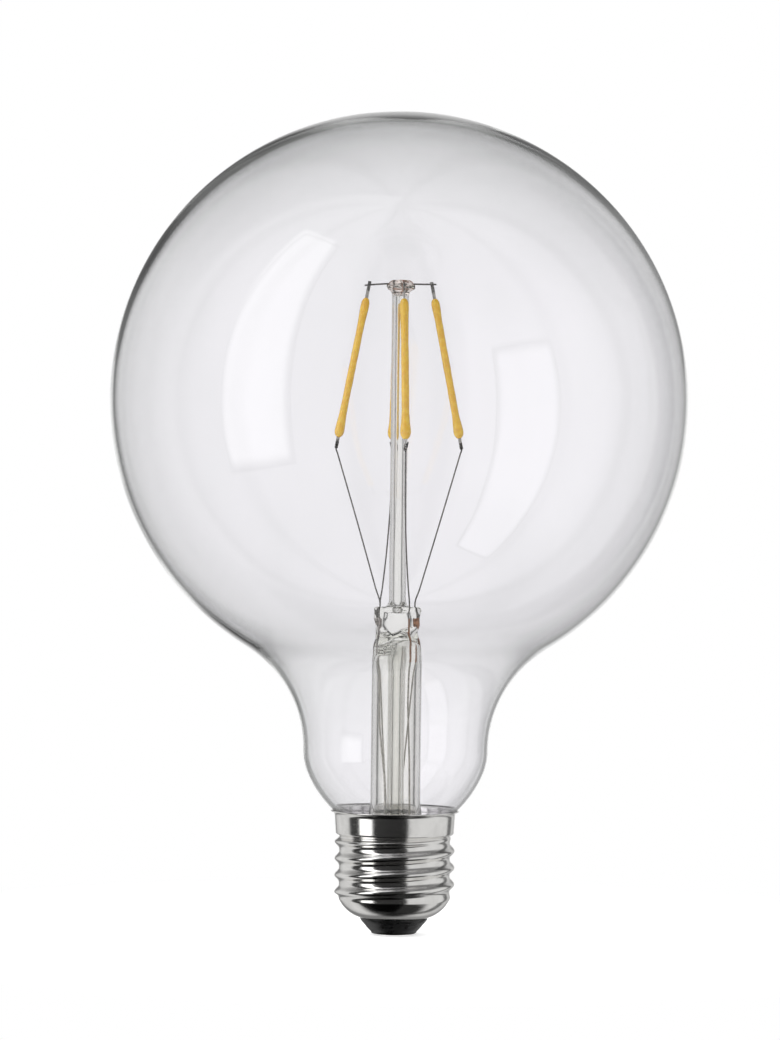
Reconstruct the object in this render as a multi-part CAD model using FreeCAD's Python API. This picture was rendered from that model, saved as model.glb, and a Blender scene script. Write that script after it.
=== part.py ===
"""Clear globe bulb: four light strips on a glass stem, in a blown globe with a screw cap of 27 mm.

Millimetres. The origin is the centre of the contact's lower face, +Z is the bulb's axis up to the
globe's crown, and -Y is the front. Every glass and cap profile is drawn in the XZ half plane as
(radius, height) and turned about Z.
"""
import FreeCAD
import Part
import math
import os

# Globe and neck; the neck's rise is from the cap's rim to where the neck's side is upright
GLOBE_DIAMETER = 125.0
GLOBE_WALL = 0.9
CROWN_WALL = 1.65
NECK_DIAMETER = 40.0
SHOULDER_RADIUS = 26.0
NECK_FOOT_RADIUS = 13.0
NECK_RISE = 13.3
NECK_SINK = 3.2

# Screw cap
CAP_HEIGHT = 26.6
SHELL_SHEET = 0.3
THREAD_DIAMETER = 26.1
THREAD_DEPTH = 1.0
THREAD_PITCH = 3.629
COLLAR_PROUD = 0.65
COLLAR_STEP = 0.4
COLLAR_DEPTH = 4.6
COLLAR_FLARE = 0.4
RIM_FLARE = 0.7
RIM_DEPTH = 1.4
KNUCKLE_RADIUS = 0.75
SHELL_FOOT_RISE = 4.0
SHELL_FOOT_ANGLE = 24.0
SHELL_OPENING_DIAMETER = 14.7
RIM_CLEARANCE = 0.25
CEMENT_DROP = 0.8

# Insulator and centre contact
CONTACT_PROUD = 0.2
CONTACT_DIAMETER = 6.6
CONTACT_FLANGE = 0.5
EYELET_DIAMETER = 3.0
EYELET_BORE = 0.9
EYELET_RISE = 1.0
INSULATOR_DROP = 3.45
INSULATOR_FOOT_DIAMETER = 9.8
INSULATOR_EDGE = 0.35
INSULATOR_FLOOR = 2.2

# Glass stem: flare tube, press, exhaust tube and post
STEM_DIAMETER = 10.8
STEM_WALL = 0.9
STEM_HEIGHT = 47.4
PRESS_THICKNESS = 4.8
PRESS_FACE = 7.0
JAW_RADIUS = 6.0
WAIST_WIDTH = 9.2
WAIST_RADIUS = 14.0
WAIST_DROP = 5.2
BORE_DROP = 10.0
EXHAUST_DIAMETER = 3.6
EXHAUST_BORE = 2.2
EXHAUST_SOCKET = 1.0
BLOW_HOLE = 1.5
BLOW_HOLE_RISE = 1.1
POST_DIAMETER = 3.65
POST_BORE = 2.3
POST_SOCKET = 2.4
POST_HEIGHT = 68.8
BUTTON_DIAMETER = 6.2
BUTTON_HEIGHT = 2.4
BUTTON_TOP_DIAMETER = 3.6
BUTTON_BULGE_RISE = 1.0

# Light strips, as coated bodies on flat carrier strips
STRIP_TURN = 6.0
FILAMENT_LENGTH = 31.0
FILAMENT_DIAMETER = 1.7
FILAMENT_TOP_DIAMETER = 2.0
FILAMENT_FOOT_DIAMETER = 2.3
FILAMENT_END_TAPER = 4.0
FILAMENT_TOP_REACH = 7.4
FILAMENT_FOOT_REACH = 13.2
CARRIER_WIDTH = 0.7
CARRIER_THICKNESS = 0.25
TOP_TAB = 3.7
FOOT_TAB = 2.2
TAB_PAST_WIRE = 0.5

# Wires
SUPPORT_WIRE_DIAMETER = 0.36
SUPPORT_WIRE_REACH = 7.8
SUPPORT_WIRE_DROP = 0.9
LEAD_DIAMETER = 0.32
SEAL_WIRE_DIAMETER = 0.4
OUTER_LEAD_DIAMETER = 0.36
WELD_FILM = 0.02
WELD_START = 0.5
WIRE_BEND = 1.0
LEAD_STRAIGHT = 1.5
LEAD_SEAT = 2.6
SEAL_TAIL = 0.7

# Driver in the cap
BOARD_DROP = 4.0
BOARD_THICKNESS = 1.0
BOARD_CLEARANCE = 0.3
TIP_CLEARANCE = 0.5
CAPACITOR_DIAMETER = 8.0
CAPACITOR_HEIGHT = 8.4
CAPACITOR_GROOVE_DROP = 1.3
CAPACITOR_GROOVE_RADIUS = 0.6
CAPACITOR_GROOVE_DEPTH = 0.35
CAPACITOR_EDGE = 0.4
REGULATOR_SIZE = (4.9, 3.9, 1.6)
RECTIFIER_SIZE = (4.7, 4.0, 2.4)
RESISTOR_DIAMETER = 2.6
RESISTOR_WAIST_DIAMETER = 2.2
RESISTOR_LENGTH = 6.0
RESISTOR_END = 1.3
RESISTOR_EDGE = 0.5
RESISTOR_TAPER = 0.4
RESISTOR_STANDOFF = 1.0
SUPPLY_WIRE_DIAMETER = 0.6
EYELET_LEAD_RISE = 0.5
SHELL_LEAD_DROP = 0.75

# Where the driver's pieces stand, as the distance in from the board's edge and the angle about the axis
CAPACITOR_PLACE = (6.6, 30.0)
RECTIFIER_PLACE = (4.85, 0.0)
REGULATOR_PLACE = (3.75, 143.0)
RESISTOR_PLACE = (6.25, 207.5)
SHELL_LEAD_PLACE = (2.85, 90.0)

POINT_TOLERANCE = 1e-6
ORIGIN = FreeCAD.Vector(0, 0, 0)
X_AXIS = FreeCAD.Vector(1, 0, 0)
Y_AXIS = FreeCAD.Vector(0, 1, 0)
Z_AXIS = FreeCAD.Vector(0, 0, 1)

# Heights and radii that several pieces share
globe_radius = GLOBE_DIAMETER / 2
shoulder_reach = NECK_DIAMETER / 2 + SHOULDER_RADIUS
shoulder_drop = math.sqrt((globe_radius + SHOULDER_RADIUS) ** 2 - shoulder_reach**2)
shoulder_height = CAP_HEIGHT + NECK_RISE
globe_height = shoulder_height + shoulder_drop
neck_end_height = CAP_HEIGHT - NECK_SINK
thread_radius = THREAD_DIAMETER / 2
root_radius = thread_radius - THREAD_DEPTH
collar_foot_radius = root_radius + COLLAR_PROUD
collar_radius = collar_foot_radius + COLLAR_FLARE
rim_radius = collar_radius + RIM_FLARE
thread_top_height = CAP_HEIGHT - COLLAR_DEPTH
opening_height = CONTACT_PROUD + INSULATOR_DROP
thread_foot_height = opening_height + SHELL_FOOT_RISE
stem_radius = STEM_DIAMETER / 2
flare_foot_height = neck_end_height - STEM_WALL
press_top_height = neck_end_height + STEM_HEIGHT
bore_top_height = press_top_height - BORE_DROP
button_top_height = press_top_height + POST_HEIGHT + BUTTON_HEIGHT
side_wire_height = button_top_height - SUPPORT_WIRE_DROP
front_wire_height = side_wire_height - SUPPORT_WIRE_DIAMETER - WELD_FILM
board_top_height = flare_foot_height - BOARD_DROP
board_foot_height = board_top_height - BOARD_THICKNESS
shell_bore_radius = root_radius - SHELL_SHEET
board_radius = shell_bore_radius - BOARD_CLEARANCE

# Each light strip's name, its turn about the axis and where its wires pass through the press
SIDES = {
    "right": {"turn": STRIP_TURN, "press": (3.8, 0.6), "wire_height": side_wire_height},
    "back": {"turn": STRIP_TURN + 90, "press": (-3.75, 0.75), "wire_height": front_wire_height},
    "left": {"turn": STRIP_TURN + 180, "press": (-3.75, -0.75), "wire_height": side_wire_height},
    "front": {"turn": STRIP_TURN + 270, "press": (2.6, -0.75), "wire_height": front_wire_height},
}

# Where each outer lead bends in the flare tube, as x, y and the drop from its start, and its pad on the board
OUTER_ROUTES = {
    "left": [(-3.5, -1.0, 14.3), (-2.3, -2.4, 26.3)],
    "back": [(-3.0, 1.9, 16.9), (-2.2, 2.6, 30.1)],
    "front": [(2.4, -1.7, 9.4), (2.9, -1.2, 22.6)],
    "right": [(2.9, 1.6, 11.3), (1.6, 2.9, 26.3)],
}
BOARD_PADS = {"left": (-1.9, -3.4), "back": (-2.2, 3.4), "front": (3.0, -2.6), "right": (1.9, 3.6)}


def at(radius, height):
    """Point of a profile in the XZ half plane."""
    return FreeCAD.Vector(radius, 0, height)


def line(start, end):
    return Part.LineSegment(start, end).toShape()


def arc_about(centre, radius, start_degrees, end_degrees):
    """Arc of a profile about a centre in the XZ plane, with angles from +X towards +Z."""
    points = []
    for degrees in (start_degrees, (start_degrees + end_degrees) / 2, end_degrees):
        angle = math.radians(degrees)
        points.append(centre + FreeCAD.Vector(math.cos(angle), 0, math.sin(angle)) * radius)
    return Part.Arc(*points).toShape()


def tangent_arc(start, direction, end):
    """Arc that leaves start along a direction in the XZ plane and ends at a point."""
    chord = end - start
    normal = FreeCAD.Vector(direction).normalize().cross(Y_AXIS)
    radius = chord.dot(chord) / (2 * chord.dot(normal))
    centre = start + normal * radius
    middle = (start + end) * 0.5 - centre
    return Part.Arc(start, centre + middle.normalize() * abs(radius), end).toShape()


def start_of(edge):
    return edge.valueAt(edge.FirstParameter)


def end_of(edge):
    return edge.valueAt(edge.LastParameter)


def joined(*parts):
    """Edges of a profile in order; a point between two parts is reached by a straight line."""
    edges = []
    here = None
    for part in parts:
        first = part if isinstance(part, FreeCAD.Vector) else start_of(part)
        if here is not None and (first - here).Length > POINT_TOLERANCE:
            edges.append(line(here, first))
        if isinstance(part, FreeCAD.Vector):
            here = part
        else:
            edges.append(part)
            here = end_of(part)
    return edges


def turned(*parts):
    """Solid of revolution about Z of a closed profile."""
    edges = joined(*parts, parts[0] if isinstance(parts[0], FreeCAD.Vector) else start_of(parts[0]))
    return Part.Face(Part.Wire(edges)).revolve(ORIGIN, Z_AXIS, 360)


def disc(radius, foot, top, place=(0.0, 0.0)):
    """Upright cylinder between two heights."""
    return Part.makeCylinder(radius, top - foot, FreeCAD.Vector(*place, foot), Z_AXIS)


def block(size, place, foot):
    """Upright block centred on a place."""
    corner = FreeCAD.Vector(place[0] - size[0] / 2, place[1] - size[1] / 2, foot)
    return Part.makeBox(*size, corner)


def wire_along(points, diameter, bend=WIRE_BEND):
    """Round wire along straight runs joined by tangent arcs of one bend radius."""
    edges = []
    here = points[0]
    for before, corner, after in zip(points, points[1:], points[2:]):
        back = (before - corner).normalize()
        ahead = (after - corner).normalize()
        half_angle = back.getAngle(ahead) / 2
        reach = bend / math.tan(half_angle)
        inward = (back + ahead).normalize()
        middle = corner + inward * (bend / math.sin(half_angle) - bend)
        edges.append(line(here, corner + back * reach))
        edges.append(Part.Arc(corner + back * reach, middle, corner + ahead * reach).toShape())
        here = corner + ahead * reach
    edges.append(line(here, points[-1]))
    section = Part.Wire(Part.Circle(points[0], points[1] - points[0], diameter / 2).toShape())
    return Part.Wire(edges).makePipeShell([section], True, False)


def neck_geometry():
    """Centres of the neck's two arcs and the angle at which its foot cone leaves the lower one."""
    shoulder = at(shoulder_reach, shoulder_height)
    foot = at(NECK_DIAMETER / 2 - NECK_FOOT_RADIUS, shoulder_height)
    # the cone is the tangent from the rim's mouth to the foot arc
    mouth = at(rim_radius - SHELL_SHEET - RIM_CLEARANCE, CAP_HEIGHT) - foot
    cone_angle = math.degrees(math.atan2(mouth.z, mouth.x) + math.acos(NECK_FOOT_RADIUS / mouth.Length))
    globe_end = math.degrees(math.atan2(-shoulder_drop, shoulder_reach))
    return shoulder, foot, cone_angle, globe_end


def neck_cone_radius(height, inset=0.0):
    """Radius of the neck's foot cone at a height, with the wall's inner face at an inset."""
    foot, cone_angle = neck_geometry()[1:3]
    angle = math.radians(cone_angle)
    reach = NECK_FOOT_RADIUS - inset
    leave = foot + FreeCAD.Vector(math.cos(angle), 0, math.sin(angle)) * reach
    return leave.x + (leave.z - height) * math.tan(angle)


def neck_wall(inset):
    """Edges of one face of the envelope, from the globe's widest height down to the neck's end."""
    shoulder, foot, cone_angle, globe_end = neck_geometry()
    return [
        arc_about(at(0, globe_height), globe_radius - inset, 0, globe_end),
        arc_about(shoulder, SHOULDER_RADIUS + inset, globe_end + 180, 180),
        arc_about(foot, NECK_FOOT_RADIUS - inset, 0, cone_angle),
        at(neck_cone_radius(neck_end_height, inset), neck_end_height),
    ]


def glass_envelope():
    """Blown globe, even in the wall below its widest height and thicker towards the crown."""
    outer_crown = arc_about(at(0, globe_height), globe_radius, 90, 0)
    widest = at(globe_radius - GLOBE_WALL, globe_height)
    crown = at(0, globe_height + globe_radius - CROWN_WALL)
    inner_crown = Part.Ellipse(widest, crown, at(0, globe_height)).toBSpline(0, math.pi / 2).toShape()
    outer_wall = neck_wall(0.0)
    inner_wall = neck_wall(GLOBE_WALL)
    return turned(outer_crown, *outer_wall, *reversed_wall(inner_wall), inner_crown)


def backwards(edge):
    """The same arc drawn from its end to its start."""
    middle = edge.valueAt((edge.FirstParameter + edge.LastParameter) / 2)
    return Part.Arc(end_of(edge), middle, start_of(edge)).toShape()


def press_jaw(inset):
    """Block that pinches the front of the stem: a flat face that rounds outward below the press."""
    face = PRESS_THICKNESS / 2 - inset
    radius = JAW_RADIUS + inset
    far = STEM_DIAMETER + JAW_RADIUS
    top = press_top_height + PRESS_THICKNESS
    turn_height = press_top_height - PRESS_FACE
    centre = FreeCAD.Vector(0, -face - radius, turn_height)
    slant = FreeCAD.Vector(0, 1, -1).normalize() * radius
    edges = joined(
        FreeCAD.Vector(0, -far, top),
        FreeCAD.Vector(0, -face, top),
        Part.Arc(centre + Y_AXIS * radius, centre + slant, centre - Z_AXIS * radius).toShape(),
        FreeCAD.Vector(0, -far, turn_height - radius),
        FreeCAD.Vector(0, -far, top),
    )
    side = Part.Face(Part.Wire(edges))
    side.translate(X_AXIS * -STEM_DIAMETER)
    return side.extrude(X_AXIS * 2 * STEM_DIAMETER)


def pinched(solid, inset=0.0):
    """Solid with the press jaws' room taken from its front and back."""
    jaw = press_jaw(inset)
    return solid.cut(jaw).cut(jaw.mirror(ORIGIN, Y_AXIS))


def stem_bore():
    """Air side of the stem: the flare's mouth and the tube's bore, narrowed by the pinch."""
    mouth_radius = neck_cone_radius(neck_end_height, GLOBE_WALL)
    flare = mouth_radius - stem_radius
    bore = stem_radius - STEM_WALL
    solid = turned(
        at(0, flare_foot_height),
        arc_about(at(mouth_radius, neck_end_height + flare), flare + STEM_WALL, 270, 180),
        at(bore, bore_top_height),
        at(0, bore_top_height),
    )
    return pinched(solid, STEM_WALL)


def glass_stem():
    """Flare tube with its lip on the neck's end, and the press pinched solid round the wires."""
    lip_radius = neck_cone_radius(neck_end_height)
    mouth_radius = neck_cone_radius(neck_end_height, GLOBE_WALL)
    flare = mouth_radius - stem_radius
    blank = turned(
        at(0, flare_foot_height),
        at(lip_radius, flare_foot_height),
        at(lip_radius, neck_end_height),
        arc_about(at(mouth_radius, neck_end_height + flare), flare, 270, 180),
        at(stem_radius, press_top_height),
        at(0, press_top_height),
    )
    stem = pinched(blank).cut(stem_bore())
    waist_reach = WAIST_WIDTH / 2 + WAIST_RADIUS
    for side in (-1, 1):
        foot = FreeCAD.Vector(side * waist_reach, -STEM_DIAMETER, press_top_height - WAIST_DROP)
        stem = stem.cut(Part.makeCylinder(WAIST_RADIUS, 2 * STEM_DIAMETER, foot, Y_AXIS))
    socket_top = bore_top_height + EXHAUST_SOCKET
    blow_height = socket_top + BLOW_HOLE_RISE
    stem = stem.cut(disc(EXHAUST_DIAMETER / 2, flare_foot_height, socket_top))
    stem = stem.cut(disc(EXHAUST_BORE / 2, flare_foot_height, blow_height))
    blow_hole = Part.makeCylinder(BLOW_HOLE / 2, stem_radius, at(0, blow_height), -Y_AXIS)
    stem = stem.cut(blow_hole)
    stem = stem.cut(disc(POST_DIAMETER / 2, press_top_height - POST_SOCKET, press_top_height))
    for name in SIDES:
        stem = stem.cut(lead_wire(name)).cut(seal_wire(name))
    return stem


def exhaust_tube():
    """Thin tube from the press down the stem, melted shut in a round tip above the board."""
    radius = EXHAUST_DIAMETER / 2
    bore = EXHAUST_BORE / 2
    tip = board_top_height + TIP_CLEARANCE
    top = bore_top_height + EXHAUST_SOCKET
    return turned(
        arc_about(at(0, tip + radius), radius, 270, 360),
        at(radius, top),
        at(bore, top),
        arc_about(at(0, tip + radius), bore, 360, 270),
    )


def support_post():
    """Hollow post on the press, its head melted down to a button round the support wires."""
    radius = POST_DIAMETER / 2
    bore = POST_BORE / 2
    foot = press_top_height - POST_SOCKET
    button_foot = button_top_height - BUTTON_HEIGHT
    bulge = at(BUTTON_DIAMETER / 2, button_foot + BUTTON_BULGE_RISE)
    post = turned(
        at(bore, foot),
        at(radius, foot),
        backwards(tangent_arc(bulge, -Z_AXIS, at(radius, button_foot))),
        tangent_arc(bulge, Z_AXIS, at(BUTTON_TOP_DIAMETER / 2, button_top_height)),
        at(0, button_top_height),
        arc_about(at(0, button_foot - bore), bore, 90, 0),
    )
    return post.cut(support_wire("right")).cut(support_wire("front"))


def support_wire(name):
    """Straight wire through the button, beside the upper tabs of a light strip and of the opposite one."""
    side = SIDES[name]
    beside = (CARRIER_THICKNESS + SUPPORT_WIRE_DIAMETER) / 2 + WELD_FILM
    start = FreeCAD.Vector(-SUPPORT_WIRE_REACH, beside, side["wire_height"])
    wire = Part.makeCylinder(SUPPORT_WIRE_DIAMETER / 2, 2 * SUPPORT_WIRE_REACH, start, X_AXIS)
    wire.rotate(ORIGIN, Z_AXIS, side["turn"])
    return wire


def strip_placement(name):
    """Where a light strip stands: its foot at the origin of its own frame, its length along Z."""
    side = SIDES[name]
    lean = math.asin((FILAMENT_FOOT_REACH - FILAMENT_TOP_REACH) / FILAMENT_LENGTH)
    rise = side["wire_height"] + TAB_PAST_WIRE - (FILAMENT_LENGTH + TOP_TAB) * math.cos(lean)
    turn = FreeCAD.Rotation(Z_AXIS, side["turn"])
    tilt = FreeCAD.Rotation(Y_AXIS, -math.degrees(lean))
    foot = turn.multVec(FreeCAD.Vector(FILAMENT_FOOT_REACH, 0, rise))
    return FreeCAD.Placement(foot, turn.multiply(tilt))


def carrier_blank():
    """Flat carrier strip along Z, with a tab past each end of the coated body."""
    size = (CARRIER_WIDTH, CARRIER_THICKNESS, FILAMENT_LENGTH + TOP_TAB + FOOT_TAB)
    return block(size, (0.0, 0.0), -FOOT_TAB)


def filament_strip(name):
    strip = carrier_blank()
    strip.Placement = strip_placement(name).multiply(strip.Placement)
    return strip


def filament(name):
    """Coated body of a light strip, a little thicker at its rounded ends."""
    foot = FILAMENT_FOOT_DIAMETER / 2
    middle = FILAMENT_DIAMETER / 2
    top = FILAMENT_TOP_DIAMETER / 2
    body = turned(
        arc_about(at(0, foot), foot, 270, 360),
        at(middle, foot + FILAMENT_END_TAPER),
        at(middle, FILAMENT_LENGTH - top - FILAMENT_END_TAPER),
        arc_about(at(0, FILAMENT_LENGTH - top), top, 0, 90),
    )
    body = body.cut(carrier_blank())
    body.Placement = strip_placement(name).multiply(body.Placement)
    return body


def press_point(name, height):
    return FreeCAD.Vector(*SIDES[name]["press"], height)


def lead_wire(name):
    """Wire from beside a light strip's lower tab down into the press."""
    placement = strip_placement(name)
    beside = (CARRIER_THICKNESS + LEAD_DIAMETER) / 2 + WELD_FILM
    points = [
        placement.multVec(FreeCAD.Vector(0, beside, -WELD_START)),
        placement.multVec(FreeCAD.Vector(0, beside, -FOOT_TAB)),
        press_point(name, press_top_height + LEAD_STRAIGHT),
        press_point(name, press_top_height - LEAD_SEAT),
    ]
    return wire_along(points, LEAD_DIAMETER)


def seal_wire(name):
    """Wire sealed in the press, from the lead's end to just below the roof of the bore."""
    foot = bore_top_height - SEAL_TAIL
    return disc(SEAL_WIRE_DIAMETER / 2, foot, press_top_height - LEAD_SEAT, SIDES[name]["press"])


def outer_lead(name):
    """Wire from the seal wire's end down the flare tube to its pad on the board."""
    start = bore_top_height - SEAL_TAIL
    pad = BOARD_PADS[name]
    points = [press_point(name, start), press_point(name, start - LEAD_STRAIGHT)]
    points += [FreeCAD.Vector(x, y, start - drop) for x, y, drop in OUTER_ROUTES[name]]
    points += [
        FreeCAD.Vector(*pad, flare_foot_height - LEAD_STRAIGHT),
        FreeCAD.Vector(*pad, board_top_height),
    ]
    return wire_along(points, OUTER_LEAD_DIAMETER)


def collar_direction():
    """Way up the collar's slightly tapered wall."""
    return collar_top() - collar_foot()


def collar_top(inset=0.0):
    return at(collar_radius - inset, CAP_HEIGHT - RIM_DEPTH)


def collar_foot(inset=0.0):
    """Foot of the collar's wall, where the sheet's inner face lies one sheet higher than the outer."""
    return at(collar_foot_radius - inset, thread_top_height + inset)


def collar_bore_radius(height):
    """Radius of the collar's inner face at a height."""
    foot = collar_foot(SHELL_SHEET)
    slope = collar_top(SHELL_SHEET) - foot
    return foot.x + slope.x * (height - foot.z) / slope.z


def rim_arc(inset):
    """Flare of the rim, from the collar up and out."""
    return tangent_arc(collar_top(inset), collar_direction(), at(rim_radius - inset, CAP_HEIGHT))


def foot_arc(inset):
    """Rounded foot of the shell, from the thread in and down to the opening."""
    slant = math.radians(SHELL_FOOT_ANGLE)
    start = at(root_radius - inset, thread_foot_height)
    end = at(SHELL_OPENING_DIAMETER / 2, opening_height + inset)
    return tangent_arc(start, FreeCAD.Vector(-math.sin(slant), 0, -math.cos(slant)), end)


def knuckle_reach():
    """Half the height of one thread knuckle, from its crest to where its foot meets the root."""
    return math.sqrt((2 * KNUCKLE_RADIUS) ** 2 - (2 * KNUCKLE_RADIUS - THREAD_DEPTH) ** 2)


def crest_heights():
    """Heights of the knuckles' crests, from the top one down, centred in the threaded band."""
    reach = knuckle_reach()
    room = thread_top_height - COLLAR_STEP - thread_foot_height
    steps = int((room - 2 * reach) / THREAD_PITCH)
    top = thread_foot_height + (room + steps * THREAD_PITCH) / 2
    return [top - step * THREAD_PITCH for step in range(steps + 1)]


def knuckles(inset):
    """Arcs of one face of the rolled thread from the top down: root, crest and root of each knuckle."""
    root_centre = root_radius + KNUCKLE_RADIUS
    crest_centre = thread_radius - KNUCKLE_RADIUS
    reach = knuckle_reach()
    meet = math.degrees(math.atan2(reach, root_centre - crest_centre))
    arcs = []
    for height in crest_heights():
        arcs += [
            arc_about(at(root_centre, height + reach), KNUCKLE_RADIUS + inset, 180, 180 + meet),
            arc_about(at(crest_centre, height), KNUCKLE_RADIUS - inset, meet, -meet),
            arc_about(at(root_centre, height - reach), KNUCKLE_RADIUS + inset, 180 - meet, 180),
        ]
    return arcs


def shell_wall(inset):
    """One face of the sheet from the rim down to the opening."""
    return [
        backwards(rim_arc(inset)),
        collar_foot(inset),
        at(root_radius - inset, thread_top_height - COLLAR_STEP + inset),
        *knuckles(inset),
        foot_arc(inset),
    ]


def reversed_wall(parts):
    """The same profile drawn the other way."""
    return [part if isinstance(part, FreeCAD.Vector) else backwards(part) for part in reversed(parts)]


def screw_shell():
    """Sheet shell in one wall: flared rim, collar, rolled thread and rounded foot."""
    return turned(*shell_wall(0.0), *reversed_wall(shell_wall(SHELL_SHEET)))


def cap_cement():
    """Ring of cement that fills the wedge between the neck's foot, the stem's lip and the collar."""
    top = CAP_HEIGHT - RIM_DEPTH - CEMENT_DROP
    lip_radius = neck_cone_radius(neck_end_height)
    return turned(
        at(lip_radius, flare_foot_height),
        at(collar_bore_radius(flare_foot_height), flare_foot_height),
        at(collar_bore_radius(top), top),
        at(neck_cone_radius(top), top),
        at(lip_radius, neck_end_height),
    )


def cap_insulator():
    """Black glass cone that closes the shell's foot and carries the contact."""
    face = CONTACT_PROUD
    foot_radius = INSULATOR_FOOT_DIAMETER / 2
    inner = foot_arc(SHELL_SHEET)
    floor = opening_height + INSULATOR_FLOOR
    dish = turned(
        at(0, face),
        at(foot_radius - INSULATOR_EDGE, face),
        tangent_arc(at(foot_radius - INSULATOR_EDGE, face), X_AXIS, at(foot_radius, face + INSULATOR_EDGE)),
        at(SHELL_OPENING_DIAMETER / 2, opening_height),
        backwards(inner),
        at(0, thread_foot_height),
    )
    trimmed = dish.cut(disc(thread_radius, floor, CAP_HEIGHT))
    return trimmed.cut(contact_blank())


def contact_blank():
    """Outline of the contact with its eyelet, without the bore."""
    flange = CONTACT_DIAMETER / 2
    eyelet = EYELET_DIAMETER / 2
    top = opening_height + INSULATOR_FLOOR + EYELET_RISE
    return turned(
        at(0, 0),
        at(flange, 0),
        at(flange, CONTACT_FLANGE),
        at(eyelet, CONTACT_FLANGE),
        at(eyelet, top),
        at(0, top),
    )


def centre_contact():
    """Flat contact with a hollow eyelet up through the insulator, open at the top for the supply wire."""
    top = opening_height + INSULATOR_FLOOR + EYELET_RISE
    return contact_blank().cut(disc(EYELET_BORE / 2, CONTACT_FLANGE, top))


def board_place(inset, degrees):
    """Place on the board at a distance in from its edge and an angle about the axis."""
    reach = board_radius - inset
    angle = math.radians(degrees)
    return reach * math.cos(angle), reach * math.sin(angle)


def driver_board():
    """Round board across the shell, drilled for the resistor's leg."""
    board = disc(board_radius, board_foot_height, board_top_height)
    leg_place = board_place(*RESISTOR_PLACE)
    return board.cut(disc(SUPPLY_WIRE_DIAMETER / 2, board_foot_height, board_top_height, leg_place))


def smoothing_capacitor():
    """Round can under the board, with a rolled groove near its open end."""
    radius = CAPACITOR_DIAMETER / 2
    foot = board_foot_height - CAPACITOR_HEIGHT
    place = board_place(*CAPACITOR_PLACE)
    ring = radius + CAPACITOR_GROOVE_RADIUS - CAPACITOR_GROOVE_DEPTH
    groove_centre = FreeCAD.Vector(*place, board_foot_height - CAPACITOR_GROOVE_DROP)
    can = disc(radius, foot, board_foot_height, place)
    can = can.cut(Part.makeTorus(ring, CAPACITOR_GROOVE_RADIUS, groove_centre, Z_AXIS))
    foot_edges = [edge for edge in can.Edges if edge.BoundBox.ZMax < foot + POINT_TOLERANCE]
    return can.makeFillet(CAPACITOR_EDGE, foot_edges)


def bridge_rectifier():
    return block(RECTIFIER_SIZE, board_place(*RECTIFIER_PLACE), board_top_height)


def current_regulator():
    return block(REGULATOR_SIZE, board_place(*REGULATOR_PLACE), board_top_height)


def resistor_foot():
    """Lower end of the resistor's body."""
    height = board_foot_height - RESISTOR_STANDOFF - RESISTOR_LENGTH
    return FreeCAD.Vector(*board_place(*RESISTOR_PLACE), height)


def fuse_resistor():
    """Upright resistor under the board, swollen at both ends, with its upper leg through the board."""
    radius = RESISTOR_DIAMETER / 2
    waist = RESISTOR_WAIST_DIAMETER / 2
    leg = SUPPLY_WIRE_DIAMETER / 2
    waist_foot = RESISTOR_END + RESISTOR_TAPER
    top = RESISTOR_LENGTH + RESISTOR_STANDOFF + BOARD_THICKNESS
    body = turned(
        at(0, 0),
        at(radius - RESISTOR_EDGE, 0),
        at(radius, RESISTOR_EDGE),
        at(radius, RESISTOR_END),
        at(waist, waist_foot),
        at(waist, RESISTOR_LENGTH - waist_foot),
        at(radius, RESISTOR_LENGTH - RESISTOR_END),
        at(radius, RESISTOR_LENGTH - RESISTOR_EDGE),
        at(radius - RESISTOR_EDGE, RESISTOR_LENGTH),
        at(leg, RESISTOR_LENGTH),
        at(leg, top),
        at(0, top),
    )
    body.translate(resistor_foot())
    return body


def contact_lead():
    """Wire from the resistor's foot into the eyelet's bore."""
    eyelet_top = opening_height + INSULATOR_FLOOR + EYELET_RISE
    foot = resistor_foot()
    points = [
        foot,
        foot - Z_AXIS * LEAD_STRAIGHT,
        at(0, eyelet_top + EYELET_LEAD_RISE),
        at(0, CONTACT_FLANGE + WELD_FILM),
    ]
    return wire_along(points, SUPPLY_WIRE_DIAMETER)


def shell_lead():
    """Wire from the board up and out to the inner face of the shell."""
    x, y = board_place(*SHELL_LEAD_PLACE)
    reach = shell_bore_radius - SUPPLY_WIRE_DIAMETER / 2 - WELD_FILM
    points = [
        FreeCAD.Vector(x, y, board_top_height),
        FreeCAD.Vector(x, y, board_top_height + LEAD_STRAIGHT),
        FreeCAD.Vector(x, reach, thread_top_height - SHELL_LEAD_DROP),
        FreeCAD.Vector(x, reach, flare_foot_height - WELD_FILM),
    ]
    return wire_along(points, SUPPLY_WIRE_DIAMETER)


def nodes():
    """Every piece of the bulb by name."""
    pieces = {
        "glass_envelope": glass_envelope(),
        "glass_stem": glass_stem(),
        "exhaust_tube": exhaust_tube(),
        "support_post": support_post(),
        "support_wire_sides": support_wire("right"),
        "support_wire_front_back": support_wire("front"),
        "screw_shell": screw_shell(),
        "cap_cement": cap_cement(),
        "cap_insulator": cap_insulator(),
        "centre_contact": centre_contact(),
        "driver_board": driver_board(),
        "smoothing_capacitor": smoothing_capacitor(),
        "bridge_rectifier": bridge_rectifier(),
        "current_regulator": current_regulator(),
        "fuse_resistor": fuse_resistor(),
        "contact_lead": contact_lead(),
        "shell_lead": shell_lead(),
    }
    for name in SIDES:
        pieces[f"filament_{name}"] = filament(name)
        pieces[f"filament_strip_{name}"] = filament_strip(name)
        pieces[f"lead_wire_{name}"] = lead_wire(name)
        pieces[f"seal_wire_{name}"] = seal_wire(name)
        pieces[f"outer_lead_{name}"] = outer_lead(name)
    return pieces


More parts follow.
